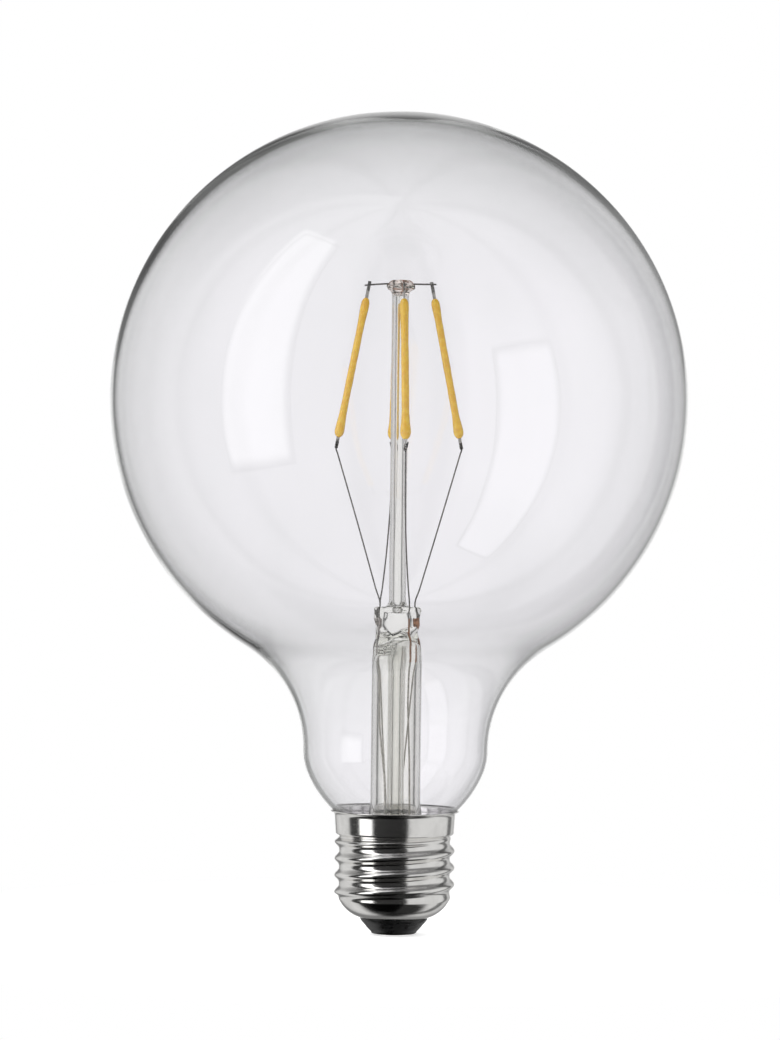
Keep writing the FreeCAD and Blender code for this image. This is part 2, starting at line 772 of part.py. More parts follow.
def main():
    os.makedirs("parts", exist_ok=True)
    for name, shape in nodes().items():
        shape.exportStep(os.path.join("parts", f"{name}.step"))
        print(f"{name}: volume {shape.Volume:.2f}, solids {len(shape.Solids)}, valid {shape.isValid()}")


main()
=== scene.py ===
"""Looks of a clear globe bulb: blown glass, a melted glass stem, coated light strips and a screw cap.

Metres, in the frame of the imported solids: the origin is the centre of the contact's lower face, +Z runs up
the bulb's axis to the crown and -Y is the front.
"""
import math

import bpy
import numpy as np
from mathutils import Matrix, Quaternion, Vector


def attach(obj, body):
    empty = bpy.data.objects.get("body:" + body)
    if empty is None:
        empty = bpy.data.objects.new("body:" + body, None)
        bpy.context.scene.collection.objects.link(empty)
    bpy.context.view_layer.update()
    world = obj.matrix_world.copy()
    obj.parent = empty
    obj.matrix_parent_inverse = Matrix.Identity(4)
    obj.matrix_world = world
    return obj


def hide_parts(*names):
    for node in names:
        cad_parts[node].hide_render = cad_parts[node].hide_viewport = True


bl_info = {
    "name": "Globe Bulb",
    "version": (1, 0, 0),
    "blender": (4, 5, 0),
    "location": "3D View > Sidebar > Bulb",
    "description": "Builds a clear globe bulb with light strips on a glass stem and a screw cap",
    "category": "Object",
}

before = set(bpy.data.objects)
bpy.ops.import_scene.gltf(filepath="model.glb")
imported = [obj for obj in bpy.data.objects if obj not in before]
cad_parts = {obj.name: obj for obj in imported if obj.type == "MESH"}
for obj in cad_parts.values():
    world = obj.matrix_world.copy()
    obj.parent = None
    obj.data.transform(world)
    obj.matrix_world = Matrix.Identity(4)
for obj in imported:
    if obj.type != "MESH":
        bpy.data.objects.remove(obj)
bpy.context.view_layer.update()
MM = 0.001
SIDES = ("right", "back", "left", "front")
UP = np.array([0.0, 0.0, 1.0])
GLASS_BOUNCES = 28  # light crosses up to twelve faces of glass and is reflected between them


def size(name, description, metres):
    """Length that a user may change, in metres."""
    return bpy.props.FloatProperty(
        name=name, description=description, default=metres, min=0.0, unit="LENGTH", precision=5
    )


def angle(name, description, degrees):
    """Angle that a user may change, given in degrees."""
    return bpy.props.FloatProperty(
        name=name, description=description, default=math.radians(degrees), subtype="ANGLE"
    )


def share(name, description, value):
    """Plain factor that a user may change."""
    return bpy.props.FloatProperty(
        name=name, description=description, default=value, min=0.0, subtype="FACTOR"
    )


def colour(name, description, rgb):
    """Linear colour that a user may change."""
    return bpy.props.FloatVectorProperty(
        name=name, description=description, default=rgb, size=3, min=0.0, max=1.0, subtype="COLOR"
    )


class BulbGlassSettings(bpy.types.PropertyGroup):
    """Blown envelope."""

    globe_radius: size("Globe radius", "Outer radius of the globe", 62.47 * MM)
    globe_height: size("Globe height", "Height of the globe's centre over the contact", 115.5 * MM)
    shoulder_radius: size("Shoulder radius", "Radius of the bend between globe and neck", 26.0 * MM)
    neck_radius: size("Neck radius", "Radius where the neck's side is upright", 20.0 * MM)
    neck_height: size("Neck height", "Height where the neck's side is upright", 39.9 * MM)
    foot_radius: size("Foot radius", "Radius of the bend from the neck in to the cap", 13.0 * MM)
    foot_share: share("Foot share", "Share of that bend before the flatter run to the cap", 0.62)
    mouth_radius: size("Mouth radius", "Radius of the neck where it enters the cap's rim", 13.25 * MM)
    mouth_height: size("Mouth height", "Height of the cap's rim", 26.6 * MM)
    neck_end: size("Neck end", "Height of the neck's end inside the cap", 23.4 * MM)
    wall: size("Wall", "Wall at the globe's widest height", 0.88 * MM)
    crown_wall: size("Crown wall", "Wall at the crown", 1.65 * MM)
    shoulder_wall: size("Shoulder wall", "Glass added to the wall at the shoulder", 0.25 * MM)
    shoulder_height: size("Shoulder height", "Height where most glass is added", 56.0 * MM)
    shoulder_spread: size("Shoulder spread", "How far up and down the added glass reaches", 9.0 * MM)
    uneven: share("Uneven wall", "Share by which the wall is thicker on the left than on average", 0.12)
    waviness: size("Waviness", "Relief left by blowing", 0.12 * MM)
    tint: colour("Tint", "Colour of light after one pass through the glass's face", (0.973, 0.96, 0.986))
    deep_tint: colour("Deep tint", "Colour where the glass is a little darker", (0.955, 0.945, 0.968))
    body_tint: colour("Body tint", "Colour left where light runs far inside the wall", (0.82, 0.97, 0.76))


class BulbStemSettings(bpy.types.PropertyGroup):
    """Flare tube, press, post and button."""

    tube_radius: size("Tube radius", "Outer radius of the flare tube", 5.4 * MM)
    bore_radius: size("Bore radius", "Inner radius of the flare tube", 4.5 * MM)
    melt_start: size("Melt start", "Height where the tube starts to melt into the press", 61.0 * MM)
    press_half_width: size("Press half width", "Half width of the press at its top", 5.2 * MM)
    waist_half_width: size("Waist half width", "Half width of the press where it is narrowest", 4.6 * MM)
    press_half_depth: size("Press half depth", "Half thickness of the press", 2.4 * MM)
    press_top: size("Press top", "Height of the press's top", 70.8 * MM)
    post_radius: size("Post radius", "Outer radius of the hollow post", 1.825 * MM)
    post_bore: size("Post bore", "Inner radius of the hollow post", 1.15 * MM)
    post_socket: size("Post socket", "Depth of the post's hollow in the press", 1.4 * MM)
    button_radius: size("Button radius", "Widest radius of the melted head of the post", 3.1 * MM)
    button_depth: size("Button depth", "Solid glass over the post's hollow", 2.6 * MM)
    button_top: size("Button top", "Height of the button's top", 142.0 * MM)
    exhaust_radius: size("Exhaust radius", "Outer radius of the thin tube inside the flare tube", 1.8 * MM)
    exhaust_bore: size("Exhaust bore", "Inner radius of the thin tube", 1.1 * MM)
    exhaust_tip: size("Exhaust tip", "Height of the thin tube's melted tip", 19.0 * MM)
    exhaust_top: size("Exhaust top", "Height of the thin tube's end in the press", 61.7 * MM)
    waviness: size("Waviness", "Relief left by drawing the tubes", 0.03 * MM)
    tint: colour("Tint", "Colour of light after one pass through the glass's face", (0.97, 0.967, 0.955))
    deep_tint: colour("Deep tint", "Colour where the glass is a little darker", (0.945, 0.945, 0.925))
    body_tint: colour("Body tint", "Colour left where light runs far inside the glass", (0.9, 0.92, 0.74))
    button_tint: colour("Button tint", "Colour of the button, warm from the wires' oxide", (0.95, 0.76, 0.7))


class BulbStripSettings(bpy.types.PropertyGroup):
    """Light strips and their wires."""

    turn: angle("Turn", "Turn of the right-hand strip about the axis", 6.0)
    strip_length: size("Strip length", "Length of a coated body", 31.0 * MM)
    top_reach: size("Top reach", "Distance of a strip's top from the axis", 7.4 * MM)
    foot_reach: size("Foot reach", "Distance of a strip's foot from the axis", 13.2 * MM)
    top_tab: size("Top tab", "Length of the carrier past the body's top", 3.7 * MM)
    tab_past_wire: size("Tab past wire", "Length of the carrier past the support wire", 0.5 * MM)
    tab_scorch: size("Tab scorch", "Height above which the carriers are scorched", 139.3 * MM)
    side_wire_height: size("Side wire height", "Height of the left and right support wire", 141.1 * MM)
    front_wire_height: size("Front wire height", "Height of the front and back support wire", 140.72 * MM)
    support_radius: size("Support radius", "Radius of a support wire", 0.18 * MM)
    support_reach: size("Support reach", "Distance of a support wire's end from the axis", 7.8 * MM)
    support_offset: size("Support offset", "Distance at which a support wire passes the axis", 0.325 * MM)
    sealed_reach: size("Sealed reach", "Distance from the axis up to which glass seals the wire", 2.7 * MM)
    lead_radius: size("Lead radius", "Radius of a lead wire", 0.16 * MM)
    lead_entry: size("Lead entry", "Height where a lead wire turns down to the press", 71.4 * MM)
    lead_end: size("Lead end", "Height of a lead wire's end in the press", 67.9 * MM)
    lead_scorch: size("Lead scorch", "Height above which the lead wires are scorched", 104.3 * MM)
    coating: colour("Coating", "Colour of the strips' coating", (0.87, 0.48, 0.02))
    coating_pale: colour("Pale coating", "Colour of the coating's paler blotches", (0.95, 0.62, 0.045))
    coating_deep: colour("Deep coating", "Colour of the coating's deepest blotches", (0.68, 0.28, 0.015))
    carrier: colour("Carrier", "Colour of the carriers' tabs", (0.66, 0.65, 0.61))
    support: colour("Support", "Colour of the support wires", (0.3, 0.29, 0.28))
    sealed: colour("Sealed", "Colour of the support wires' oxide in the button", (0.78, 0.52, 0.43))
    wire: colour("Wire", "Colour of the lead wires", (0.3, 0.29, 0.275))
    outer_lead: colour("Outer lead", "Colour of the wires below the press", (0.66, 0.64, 0.58))
    copper: colour("Copper", "Colour of the wires sealed in the press", (0.5, 0.24, 0.13))


class BulbCapSettings(bpy.types.PropertyGroup):
    """Screw shell, insulator and contact."""

    root_radius: size("Root radius", "Radius at the thread's root", 12.05 * MM)
    thread_depth: size("Thread depth", "Height of the thread over its root", 1.0 * MM)
    pitch: size("Pitch", "Rise of the thread in one turn", 3.629 * MM)
    thread_start: size("Thread start", "Height of a crest on the right-hand side", 7.33 * MM)
    thread_foot: size("Thread foot", "Height where the thread ends in the rounded foot", 7.65 * MM)
    collar_foot_radius: size("Collar foot radius", "Radius at the collar's foot", 12.82 * MM)
    collar_radius: size("Collar radius", "Radius at the collar's top", 13.08 * MM)
    collar_foot: size("Collar foot", "Height of the collar's foot", 22.0 * MM)
    collar_step: size("Collar step", "Height of the soft step from the collar to the root", 0.75 * MM)
    collar_top: size("Collar top", "Height where the rim starts to flare", 25.75 * MM)
    rim_radius: size("Rim radius", "Radius of the flared rim", 13.8 * MM)
    rim_height: size("Rim height", "Height of the rim", 26.6 * MM)
    opening_radius: size("Opening radius", "Radius of the shell's lower opening", 7.35 * MM)
    opening_height: size("Opening height", "Height of the shell's lower opening", 3.65 * MM)
    foot_slant: angle("Foot slant", "Slant at which the rounded foot leaves the thread", 24.0)
    sheet: size("Sheet", "Thickness of the shell", 0.3 * MM)
    insulator_foot: size("Insulator foot", "Radius of the insulator's foot", 4.9 * MM)
    insulator_floor: size("Insulator floor", "Height of the insulator's upper face", 5.85 * MM)
    insulator_hole: size("Insulator hole", "Radius of the hole for the contact's eyelet", 1.5 * MM)
    contact_radius: size("Contact radius", "Radius of the centre contact", 3.3 * MM)
    nickel: colour("Nickel", "Colour of the plated shell", (0.93, 0.92, 0.90))
    nickel_dull: colour("Dull nickel", "Colour where the plating is handled", (0.84, 0.83, 0.81))
    black: colour("Black glass", "Colour of the insulator", (0.007, 0.007, 0.007))
    contact: colour("Contact", "Colour of the tinned contact", (0.62, 0.60, 0.56))
    cement: colour("Cement", "Colour of the baked cement", (0.86, 0.84, 0.78))


class BulbStageSettings(bpy.types.PropertyGroup):
    """Floor, lamp and camera."""

    floor_half: size("Floor half width", "Half the width of the floor", 12.0)
    floor_drop: size("Floor drop", "Distance of the floor below the contact", 0.1 * MM)
    floor_lift: share("Floor lift", "Glow of the floor near the bulb, where 1 is white", 0.6)
    shadow_near: size("Shadow near", "Distance from the axis where the floor starts to turn white", 0.02)
    shadow_far: size("Shadow far", "Distance from the axis where the floor is white", 0.13)
    lamp_width: size("Lamp width", "Width of the soft lamp", 0.5)
    lamp_height: size("Lamp height", "Height of the soft lamp", 2.0)
    lamp_distance: size("Lamp distance", "Distance of the soft lamp from the axis", 0.9)
    lamp_middle: size("Lamp middle", "Height of the soft lamp's middle", 0.72)
    lamp_turn: angle("Lamp turn", "Turn of the soft lamp from the front towards the left", 58.0)
    lamp_level: share("Lamp level", "Brightness of the soft lamp, where 1 is white", 1.7)
    camera_distance: size("Camera distance", "Distance of the camera from the axis", 0.966)
    camera_left: size("Camera left", "Distance of the camera to the left of the axis", 1.72 * MM)
    camera_height: size("Camera height", "Height of the camera over the contact", 0.102)
    aim_height: size("Aim height", "Height that the camera looks at", 0.0897)
    camera_roll: angle("Camera roll", "Roll of the camera", 0.6)
    lens: bpy.props.FloatProperty(
        name="Lens", description="Focal length", default=154.5, min=1.0, unit="CAMERA"
    )
    floor_colour: colour("Floor colour", "Colour of the floor", (0.80, 0.80, 0.80))


def blend(low, high, value):
    """Smooth step from 0 at low to 1 at high: 3t squared less 2t cubed."""
    t = np.clip((value - low) / (high - low), 0.0, 1.0)
    return t * t * (3.0 - 2.0 * t)


def bell(value, centre, width):
    """Bell curve: e to the power of minus the squared distance from a centre over a width."""
    return np.exp(-(((value - centre) / width) ** 2))


def ray(turn):
    """Unit vector at an angle: its cosine and its sine."""
    return np.array([math.cos(turn), math.sin(turn)])


def unit_rows(rows):
    """Rows of a table, each divided by its length."""
    return rows / np.linalg.norm(rows, axis=1)[:, None]


def arc(centre, radius, start, end, steps):
    """Points (radius, height) at equal angles about a centre, in degrees from outward towards upward."""
    turn = np.radians(np.linspace(start, end, steps))
    return np.column_stack([centre[0] + radius * np.cos(turn), centre[1] + radius * np.sin(turn)])


def tangent_arc(start, direction, end, steps):
    """Points of the arc that leaves start along a direction and meets end; its centre is on the normal."""
    start, end = np.asarray(start, float), np.asarray(end, float)
    along = np.asarray(direction, float) / np.linalg.norm(direction)
    normal = np.array([-along[1], along[0]])
    chord = end - start
    reach = chord @ chord / (2.0 * chord @ normal)
    centre = start + normal * reach
    first = math.atan2(*(start - centre)[::-1])
    last = math.atan2(*(end - centre)[::-1])
    last = first + (last - first + math.pi) % (2.0 * math.pi) - math.pi
    turn = np.linspace(first, last, steps)
    return centre + abs(reach) * np.column_stack([np.cos(turn), np.sin(turn)])


def smooth_through(stations, steps):
    """Cubic through a table's rows; its slope there is the harmonic mean of both sides', so no overshoot."""
    table = np.asarray(stations, float)
    span = np.linalg.norm(np.diff(table, axis=0), axis=1)
    slope = np.diff(table, axis=0) / span[:, None]
    before, after = slope[:-1], slope[1:]
    same = before * after > 0.0
    inner = np.where(same, 2.0 * before * after / np.where(same, before + after, 1.0), 0.0)
    tangent = np.vstack([slope[:1], inner, slope[-1:]])
    cell = np.repeat(np.arange(len(span)), steps)
    t = np.tile(np.linspace(0.0, 1.0, steps, endpoint=False), len(span))[:, None]
    run = span[cell][:, None]
    points = (
        (2 * t**3 - 3 * t**2 + 1) * table[cell]
        + (t**3 - 2 * t**2 + t) * run * tangent[cell]
        + (3 * t**2 - 2 * t**3) * table[cell + 1]
        + (t**3 - t**2) * run * tangent[cell + 1]
    )
    return np.vstack([points, table[-1:]])


def round_angles(columns):
    """Equal angles once round, without the last that meets the first."""
    return np.linspace(0.0, 2.0 * math.pi, columns, endpoint=False)


def about_axis(radius, height, turn):
    """Points at angles about Z: x and y are the radius times cosine and sine, and z is the height."""
    return np.stack([radius * np.cos(turn), radius * np.sin(turn), height + 0.0 * turn], axis=-1)


def turned(profile, columns):
    """Grid of a profile (radius, height) turned about Z."""
    return about_axis(profile[:, 0, None], profile[:, 1, None], round_angles(columns))


def ends_on_axis(profile):
    """Profile with both ends set on the axis, so that turning closes it in two poles."""
    profile[[0, -1], 0] = 0.0
    return profile


def tube(path, radius, columns=12):
    """Grid of a round tube: each ring is square to the path's tangent, and both ends close in a point."""
    path = np.asarray(path, float)
    radius = np.broadcast_to(np.asarray(radius, float), len(path))
    along = unit_rows(np.gradient(path, axis=0))
    lean = np.abs(along).mean(axis=0)
    side = unit_rows(np.cross(along, np.eye(3)[np.argmin(lean)]))
    other = np.cross(along, side)
    turn = round_angles(columns)[:, None]
    ring = side[:, None] * np.cos(turn) + other[:, None] * np.sin(turn)
    grid = path[:, None] + radius[:, None, None] * ring
    ends = np.repeat(path[[0, -1], None], columns, axis=1)
    return np.concatenate([ends[:1], grid, ends[1:]])


def grid_faces(points, loop):
    """Vertices and faces of one grid that is closed round its columns, and along its rows if loop is set.

    Each cell is a four-sided face. A row that is a single point becomes a pole with three-sided faces.
    """
    rows, columns = points.shape[:2]
    pole = np.ptp(points, axis=1).max(axis=1) < 1e-9
    first = np.concatenate([[0], np.cumsum(np.where(pole, 1, columns))[:-1]])
    index = first[:, None] + np.where(pole[:, None], 0, np.arange(columns))
    keep = np.ones((rows, columns), bool)
    keep[pole, 1:] = False
    below = np.roll(index, -1, axis=0)
    cells = np.stack([index, below, np.roll(below, -1, axis=1), np.roll(index, -1, axis=1)], axis=-1)
    cells = (cells if loop else cells[:-1]).reshape(-1, 4)
    upper_pole = cells[:, 0] == cells[:, 3]
    lower_pole = cells[:, 1] == cells[:, 2]
    quads = cells[~(upper_pole | lower_pole)]
    triangles = np.vstack([cells[upper_pole][:, :3], cells[lower_pole][:, [0, 1, 3]]])
    return points[keep], quads, triangles


def enclosed(vertices, quads, triangles):
    """Signed volume inside the faces: a sixth of the sum of each triangle's triple product."""
    corners = np.vstack([quads[:, [0, 1, 2]], quads[:, [0, 2, 3]], triangles])
    a, b, c = (vertices[corners[:, k]] for k in range(3))
    return np.einsum("ij,ij->", a, np.cross(b, c)) / 6.0


def make_piece(name, material, grids, cavities=(), loop=False, sharp=50.0):
    """Object of closed grids, whose faces point outwards, and of cavities, whose faces point inwards.

    With loop set, each grid's last row meets its first. Edges past the sharp angle in degrees stay sharp.
    """
    vertices, faces, count = [], [], 0
    for number, points in enumerate([*grids, *cavities]):
        places, quads, triangles = grid_faces(points, loop)
        cavity = number >= len(grids)
        if (enclosed(places, quads, triangles) < 0.0) != cavity:
            quads, triangles = quads[:, ::-1], triangles[:, ::-1]
        vertices.append(places)
        faces += (quads + count).tolist() + (triangles + count).tolist()
        count += len(places)
    mesh = bpy.data.meshes.new(name)
    mesh.from_pydata(np.vstack(vertices), [], faces)
    mesh.shade_smooth()
    mesh.set_sharp_from_angle(angle=math.radians(sharp))
    mesh.materials.append(material)
    mesh.validate()
    piece = bpy.data.objects.new(name, mesh)
    bpy.context.scene.collection.objects.link(piece)
    return piece


def place(piece, slot, *nodes):
    """Rides the piece on the bulb and hides the solids that it stands for. The slot is not used."""
    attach(piece, "root")
    if nodes:
        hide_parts(*nodes)


def dress(node, material):
    """Gives a solid of the frame its finish."""
    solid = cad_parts[node]
    if not solid.material_slots:
        solid.data.materials.append(material)
    for slot in solid.material_slots:
        slot.material = material


def new_tree(owner):
    """Empty node tree of a material or a world."""
    owner.use_nodes = True
    owner.node_tree.nodes.clear()
    return owner.node_tree


def begin_material(name):
    """New material with one shader; returns it with its tree, the shader and the object's own coordinates."""
    material = bpy.data.materials.new(name)
    tree = new_tree(material)
    output = tree.nodes.new("ShaderNodeOutputMaterial")
    shader = tree.nodes.new("ShaderNodeBsdfPrincipled")
    tree.links.new(shader.outputs["BSDF"], output.inputs["Surface"])
    coordinates = tree.nodes.new("ShaderNodeTexCoord")
    return material, tree, shader, coordinates.outputs["Object"]


def value_node(tree, operation, *values):
    """Math node; numbers are set on its sockets and sockets are linked."""
    node = tree.nodes.new("ShaderNodeMath")
    node.operation = operation
    for socket, value in zip(node.inputs, values):
        if isinstance(value, (int, float)):
            socket.default_value = value
        else:
            tree.links.new(value, socket)
    return node.outputs["Value"]


def product(tree, first, *others):
    """Product of two or more values."""
    for other in others:
        first = value_node(tree, "MULTIPLY", first, other)
    return first


def highest(tree, first, second):
    """Higher one of two values."""
    return value_node(tree, "MAXIMUM", first, second)


def over(tree, value, limit):
    """1 where a value is over a limit, and 0 elsewhere."""
    return value_node(tree, "GREATER_THAN", value, limit)


def mixed(tree, factor, first, second):
    """Mix of two colours; a colour is set on its socket and a socket is linked."""
    node = tree.nodes.new("ShaderNodeMix")
    node.data_type = "RGBA"
    tree.links.new(factor, node.inputs["Factor"])
    for name, value in (("A", first), ("B", second)):
        if isinstance(value, bpy.types.NodeSocket):
            tree.links.new(value, node.inputs[name])
        else:
            node.inputs[name].default_value = (*value, 1.0)
    return node.outputs["Result"]


def ramp(tree, value, stops):
    """Colours along a value; stops holds (position, colour or grey level)."""
    node = tree.nodes.new("ShaderNodeValToRGB")
    elements = node.color_ramp.elements
    while len(elements) < len(stops):
        elements.new(0.5)
    for element, (position, shade) in zip(elements, stops):
        element.position = position
        element.color = (*np.broadcast_to(shade, 3), 1.0)
    tree.links.new(value, node.inputs["Fac"])
    return node.outputs["Color"]


def eased(tree, value, low, high, start=0.0, end=1.0, shape="SMOOTHSTEP"):
    """Step from start to end while a value goes from low to high, smooth unless the shape is LINEAR."""
    node = tree.nodes.new("ShaderNodeMapRange")
    node.interpolation_type = shape
    for name, level in (("From Min", low), ("From Max", high), ("To Min", start), ("To Max", end)):
        node.inputs[name].default_value = level
    tree.links.new(value, node.inputs["Value"])
    return node.outputs["Result"]


def axes(tree, vector):
    """The X, Y and Z of a vector."""
    node = tree.nodes.new("ShaderNodeSeparateXYZ")
    tree.links.new(vector, node.inputs["Vector"])
    return node.outputs["X"], node.outputs["Y"], node.outputs["Z"]


def length(tree, vector):
    """Length of a vector."""
    node = tree.nodes.new("ShaderNodeVectorMath")
    node.operation = "LENGTH"
    tree.links.new(vector, node.inputs[0])
    return node.outputs["Value"]


def stretched(tree, vector, scale):
    """Coordinates scaled along each axis."""
    node = tree.nodes.new("ShaderNodeMapping")
    node.inputs["Scale"].default_value = scale
    tree.links.new(vector, node.inputs["Vector"])
    return node.outputs["Vector"]


def noise(tree, vector, scale, detail, distortion=0.0):
    """Cloudy value between 0 and 1, with about scale blotches to a metre."""
    node = tree.nodes.new("ShaderNodeTexNoise")
    node.inputs["Scale"].default_value = scale
    node.inputs["Detail"].default_value = detail
    node.inputs["Distortion"].default_value = distortion
    tree.links.new(vector, node.inputs["Vector"])
    return node.outputs["Fac"]


def spread(tree, cloud, low, high, socket):
    """A cloudy value, mostly 0.3 to 0.7, spread over a range and led to a socket of the shader."""
    tree.links.new(eased(tree, cloud, 0.3, 0.7, low, high, "LINEAR"), socket)


def bump(tree, value, height, shader):
    """Surface relief of a height in metres."""
    node = tree.nodes.new("ShaderNodeBump")
    node.inputs["Strength"].default_value = 1.0
    node.inputs["Distance"].default_value = height
    tree.links.new(value, node.inputs["Height"])
    tree.links.new(node.outputs["Normal"], shader.inputs["Normal"])


def darkened(rgb, level):
    """A colour times a level."""
    return tuple(level * value for value in rgb)


def blown_glass(name, settings, melted=False):
    """Clear glass with faint cords of tint, a slow waviness and a tint that grows with depth.

    Faces seen from the side get a painted shade, a darker tint. The stem's glass is melted in places.
    """
    material, tree, shader, here = begin_material(name)
    shader.inputs["Transmission Weight"].default_value = 1.0
    shader.inputs["IOR"].default_value = 1.5
    shader.inputs["Roughness"].default_value = 0.0
    cords = noise(tree, stretched(tree, here, (1.0, 1.0, 0.4)), scale=45.0, detail=2.0, distortion=0.6)
    shade = mixed(tree, eased(tree, cords, 0.3, 0.7), settings.deep_tint, settings.tint)
    # Painted shade: the tint turns darker where a face is seen from the side.
    painted_shade_facing = tree.nodes.new("ShaderNodeLayerWeight")
    painted_shade_facing.inputs["Blend"].default_value = 0.5
    side = eased(tree, painted_shade_facing.outputs["Facing"], 0.15, 0.6)
    shade = mixed(tree, side, shade, darkened(settings.deep_tint, 0.92))
    relief = noise(tree, here, scale=38.0, detail=1.0)
    if melted:
        shade, relief = melted_glass(tree, here, settings, shade, relief)
    tree.links.new(shade, shader.inputs["Base Color"])
    bump(tree, relief, settings.waviness, shader)
    absorb = tree.nodes.new("ShaderNodeVolumeAbsorption")
    absorb.inputs["Color"].default_value = (*settings.body_tint, 1.0)
    absorb.inputs["Density"].default_value = 40.0
    output = next(node for node in tree.nodes if node.type == "OUTPUT_MATERIAL")
    tree.links.new(absorb.outputs["Volume"], output.inputs["Volume"])
    return material


def melted_glass(tree, here, stem, shade, relief):
    """The stem's shade with the button's warm tint, and its relief with finer waves in the press."""
    soft_start, soft_end, fine_share = 2.0 * MM, 1.0 * MM, 1.6
    warm_from, warm_to = stem.button_top - 1.9 * MM, stem.button_top - 0.6 * MM
    height = axes(tree, here)[2]
    starts = eased(tree, height, stem.melt_start, stem.melt_start + soft_start)
    ends = eased(tree, height, stem.press_top - soft_end, stem.press_top, 1.0, 0.0)
    fine = product(tree, starts, ends, noise(tree, here, scale=420.0, detail=2.0))
    warm = eased(tree, height, warm_from, warm_to, 0.0, 0.9)
    relief = value_node(tree, "MULTIPLY_ADD", fine, fine_share, relief)
    return mixed(tree, warm, shade, stem.button_tint), relief


def plated_nickel(cap):
    """Bright plating with a faint mottle, fine rolled lines round the axis and small handling marks."""
    material, tree, shader, here = begin_material("bright_nickel")
    shader.inputs["Metallic"].default_value = 1.0
    blotches = noise(tree, here, scale=260.0, detail=5.0, distortion=0.4)
    mottle = ramp(tree, blotches, [(0.35, cap.nickel_dull), (0.6, cap.nickel)])
    tree.links.new(mottle, shader.inputs["Base Color"])
    rolled = noise(tree, stretched(tree, here, (1.0, 1.0, 14.0)), scale=420.0, detail=4.0)
    spread(tree, rolled, 0.11, 0.22, shader.inputs["Roughness"])
    bump(tree, noise(tree, here, scale=900.0, detail=3.0), 0.005 * MM, shader)
    return material


def black_glass(cap):
    """Cast black glass with flow lines and a slightly pitted skin."""
    material, tree, shader, here = begin_material("black_insulator_glass")
    shader.inputs["IOR"].default_value = 1.45
    flow = noise(tree, stretched(tree, here, (1.0, 1.0, 3.0)), scale=300.0, detail=4.0, distortion=1.2)
    lighter = tuple(min(1.0, 2.6 * value + 0.006) for value in cap.black)
    streaks = ramp(tree, flow, [(0.4, cap.black), (0.75, lighter)])
    tree.links.new(streaks, shader.inputs["Base Color"])
    spread(tree, flow, 0.22, 0.38, shader.inputs["Roughness"])
    bump(tree, noise(tree, here, scale=1500.0, detail=4.0), 0.02 * MM, shader)
    return material


def dull_metal(name, rgb, rough, metallic=1.0, scale=1800.0, scorched=None, sealed=None):
    """Drawn or tinned metal with darker blotches of oxide; rough holds its lowest and highest roughness.

    Above a scorched height it is dark all over. Nearer the axis than a sealed radius it has the colour that
    comes with that radius, the rosy oxide of a wire that is melted into glass.
    """
    material, tree, shader, here = begin_material(name)
    shader.inputs["Metallic"].default_value = metallic
    oxide = noise(tree, here, scale=scale, detail=4.0, distortion=0.5)
    bright = oxide
    stops = [(0.32, darkened(rgb, 0.62)), (0.62, rgb)]
    if scorched:
        soft = 0.4 * MM
        burnt = eased(tree, axes(tree, here)[2], scorched - soft, scorched + soft, 0.0, -0.32)
        bright = value_node(tree, "ADD", oxide, burnt)
        stops.insert(0, (0.1, darkened(rgb, 0.16)))
    shade = ramp(tree, bright, stops)
    if sealed:
        radius, rosy = sealed
        distance = length(tree, stretched(tree, here, (1.0, 1.0, 0.0)))
        shade = mixed(tree, eased(tree, distance, radius - 0.3 * MM, radius, 1.0, 0.0), shade, rosy)
    tree.links.new(shade, shader.inputs["Base Color"])
    smoothest, roughest = rough
    spread(tree, oxide, roughest, smoothest, shader.inputs["Roughness"])
    bump(tree, oxide, 0.008 * MM, shader)
    return material


def silicone_coating(strips):
    """Yellow silicone with powder in it: blotches of a paler and a deeper yellow under a satin skin."""
    material, tree, shader, here = begin_material("strip_coating")
    powder = noise(tree, here, scale=1100.0, detail=5.0, distortion=0.3)
    stops = [(0.35, strips.coating_pale), (0.65, strips.coating), (0.95, strips.coating_deep)]
    tree.links.new(ramp(tree, powder, stops), shader.inputs["Base Color"])
    shader.inputs["Subsurface Weight"].default_value = 0.1
    shader.inputs["Subsurface Radius"].default_value = (1.0, 0.5, 0.12)
    shader.inputs["Subsurface Scale"].default_value = 0.5 * MM
    spread(tree, powder, 0.18, 0.28, shader.inputs["Roughness"])
    shader.inputs["Coat Weight"].default_value = 0.8
    shader.inputs["Coat Roughness"].default_value = 0.12
    shader.inputs["Coat IOR"].default_value = 1.7
    bump(tree, noise(tree, here, scale=700.0, detail=3.0), 0.04 * MM, shader)
    return material


def grained(name, rgb, rough, scale, relief, contrast=0.7):
    """Plain moulded, lacquered or baked skin: two shades in a grain, with uneven gloss and a fine relief."""
    material, tree, shader, here = begin_material(name)
    grain = noise(tree, here, scale=scale, detail=5.0, distortion=0.2)
    shades = ramp(tree, grain, [(0.3, darkened(rgb, contrast)), (0.65, rgb)])
    tree.links.new(shades, shader.inputs["Base Color"])
    spread(tree, grain, *rough, shader.inputs["Roughness"])
    bump(tree, grain, relief, shader)
    return material


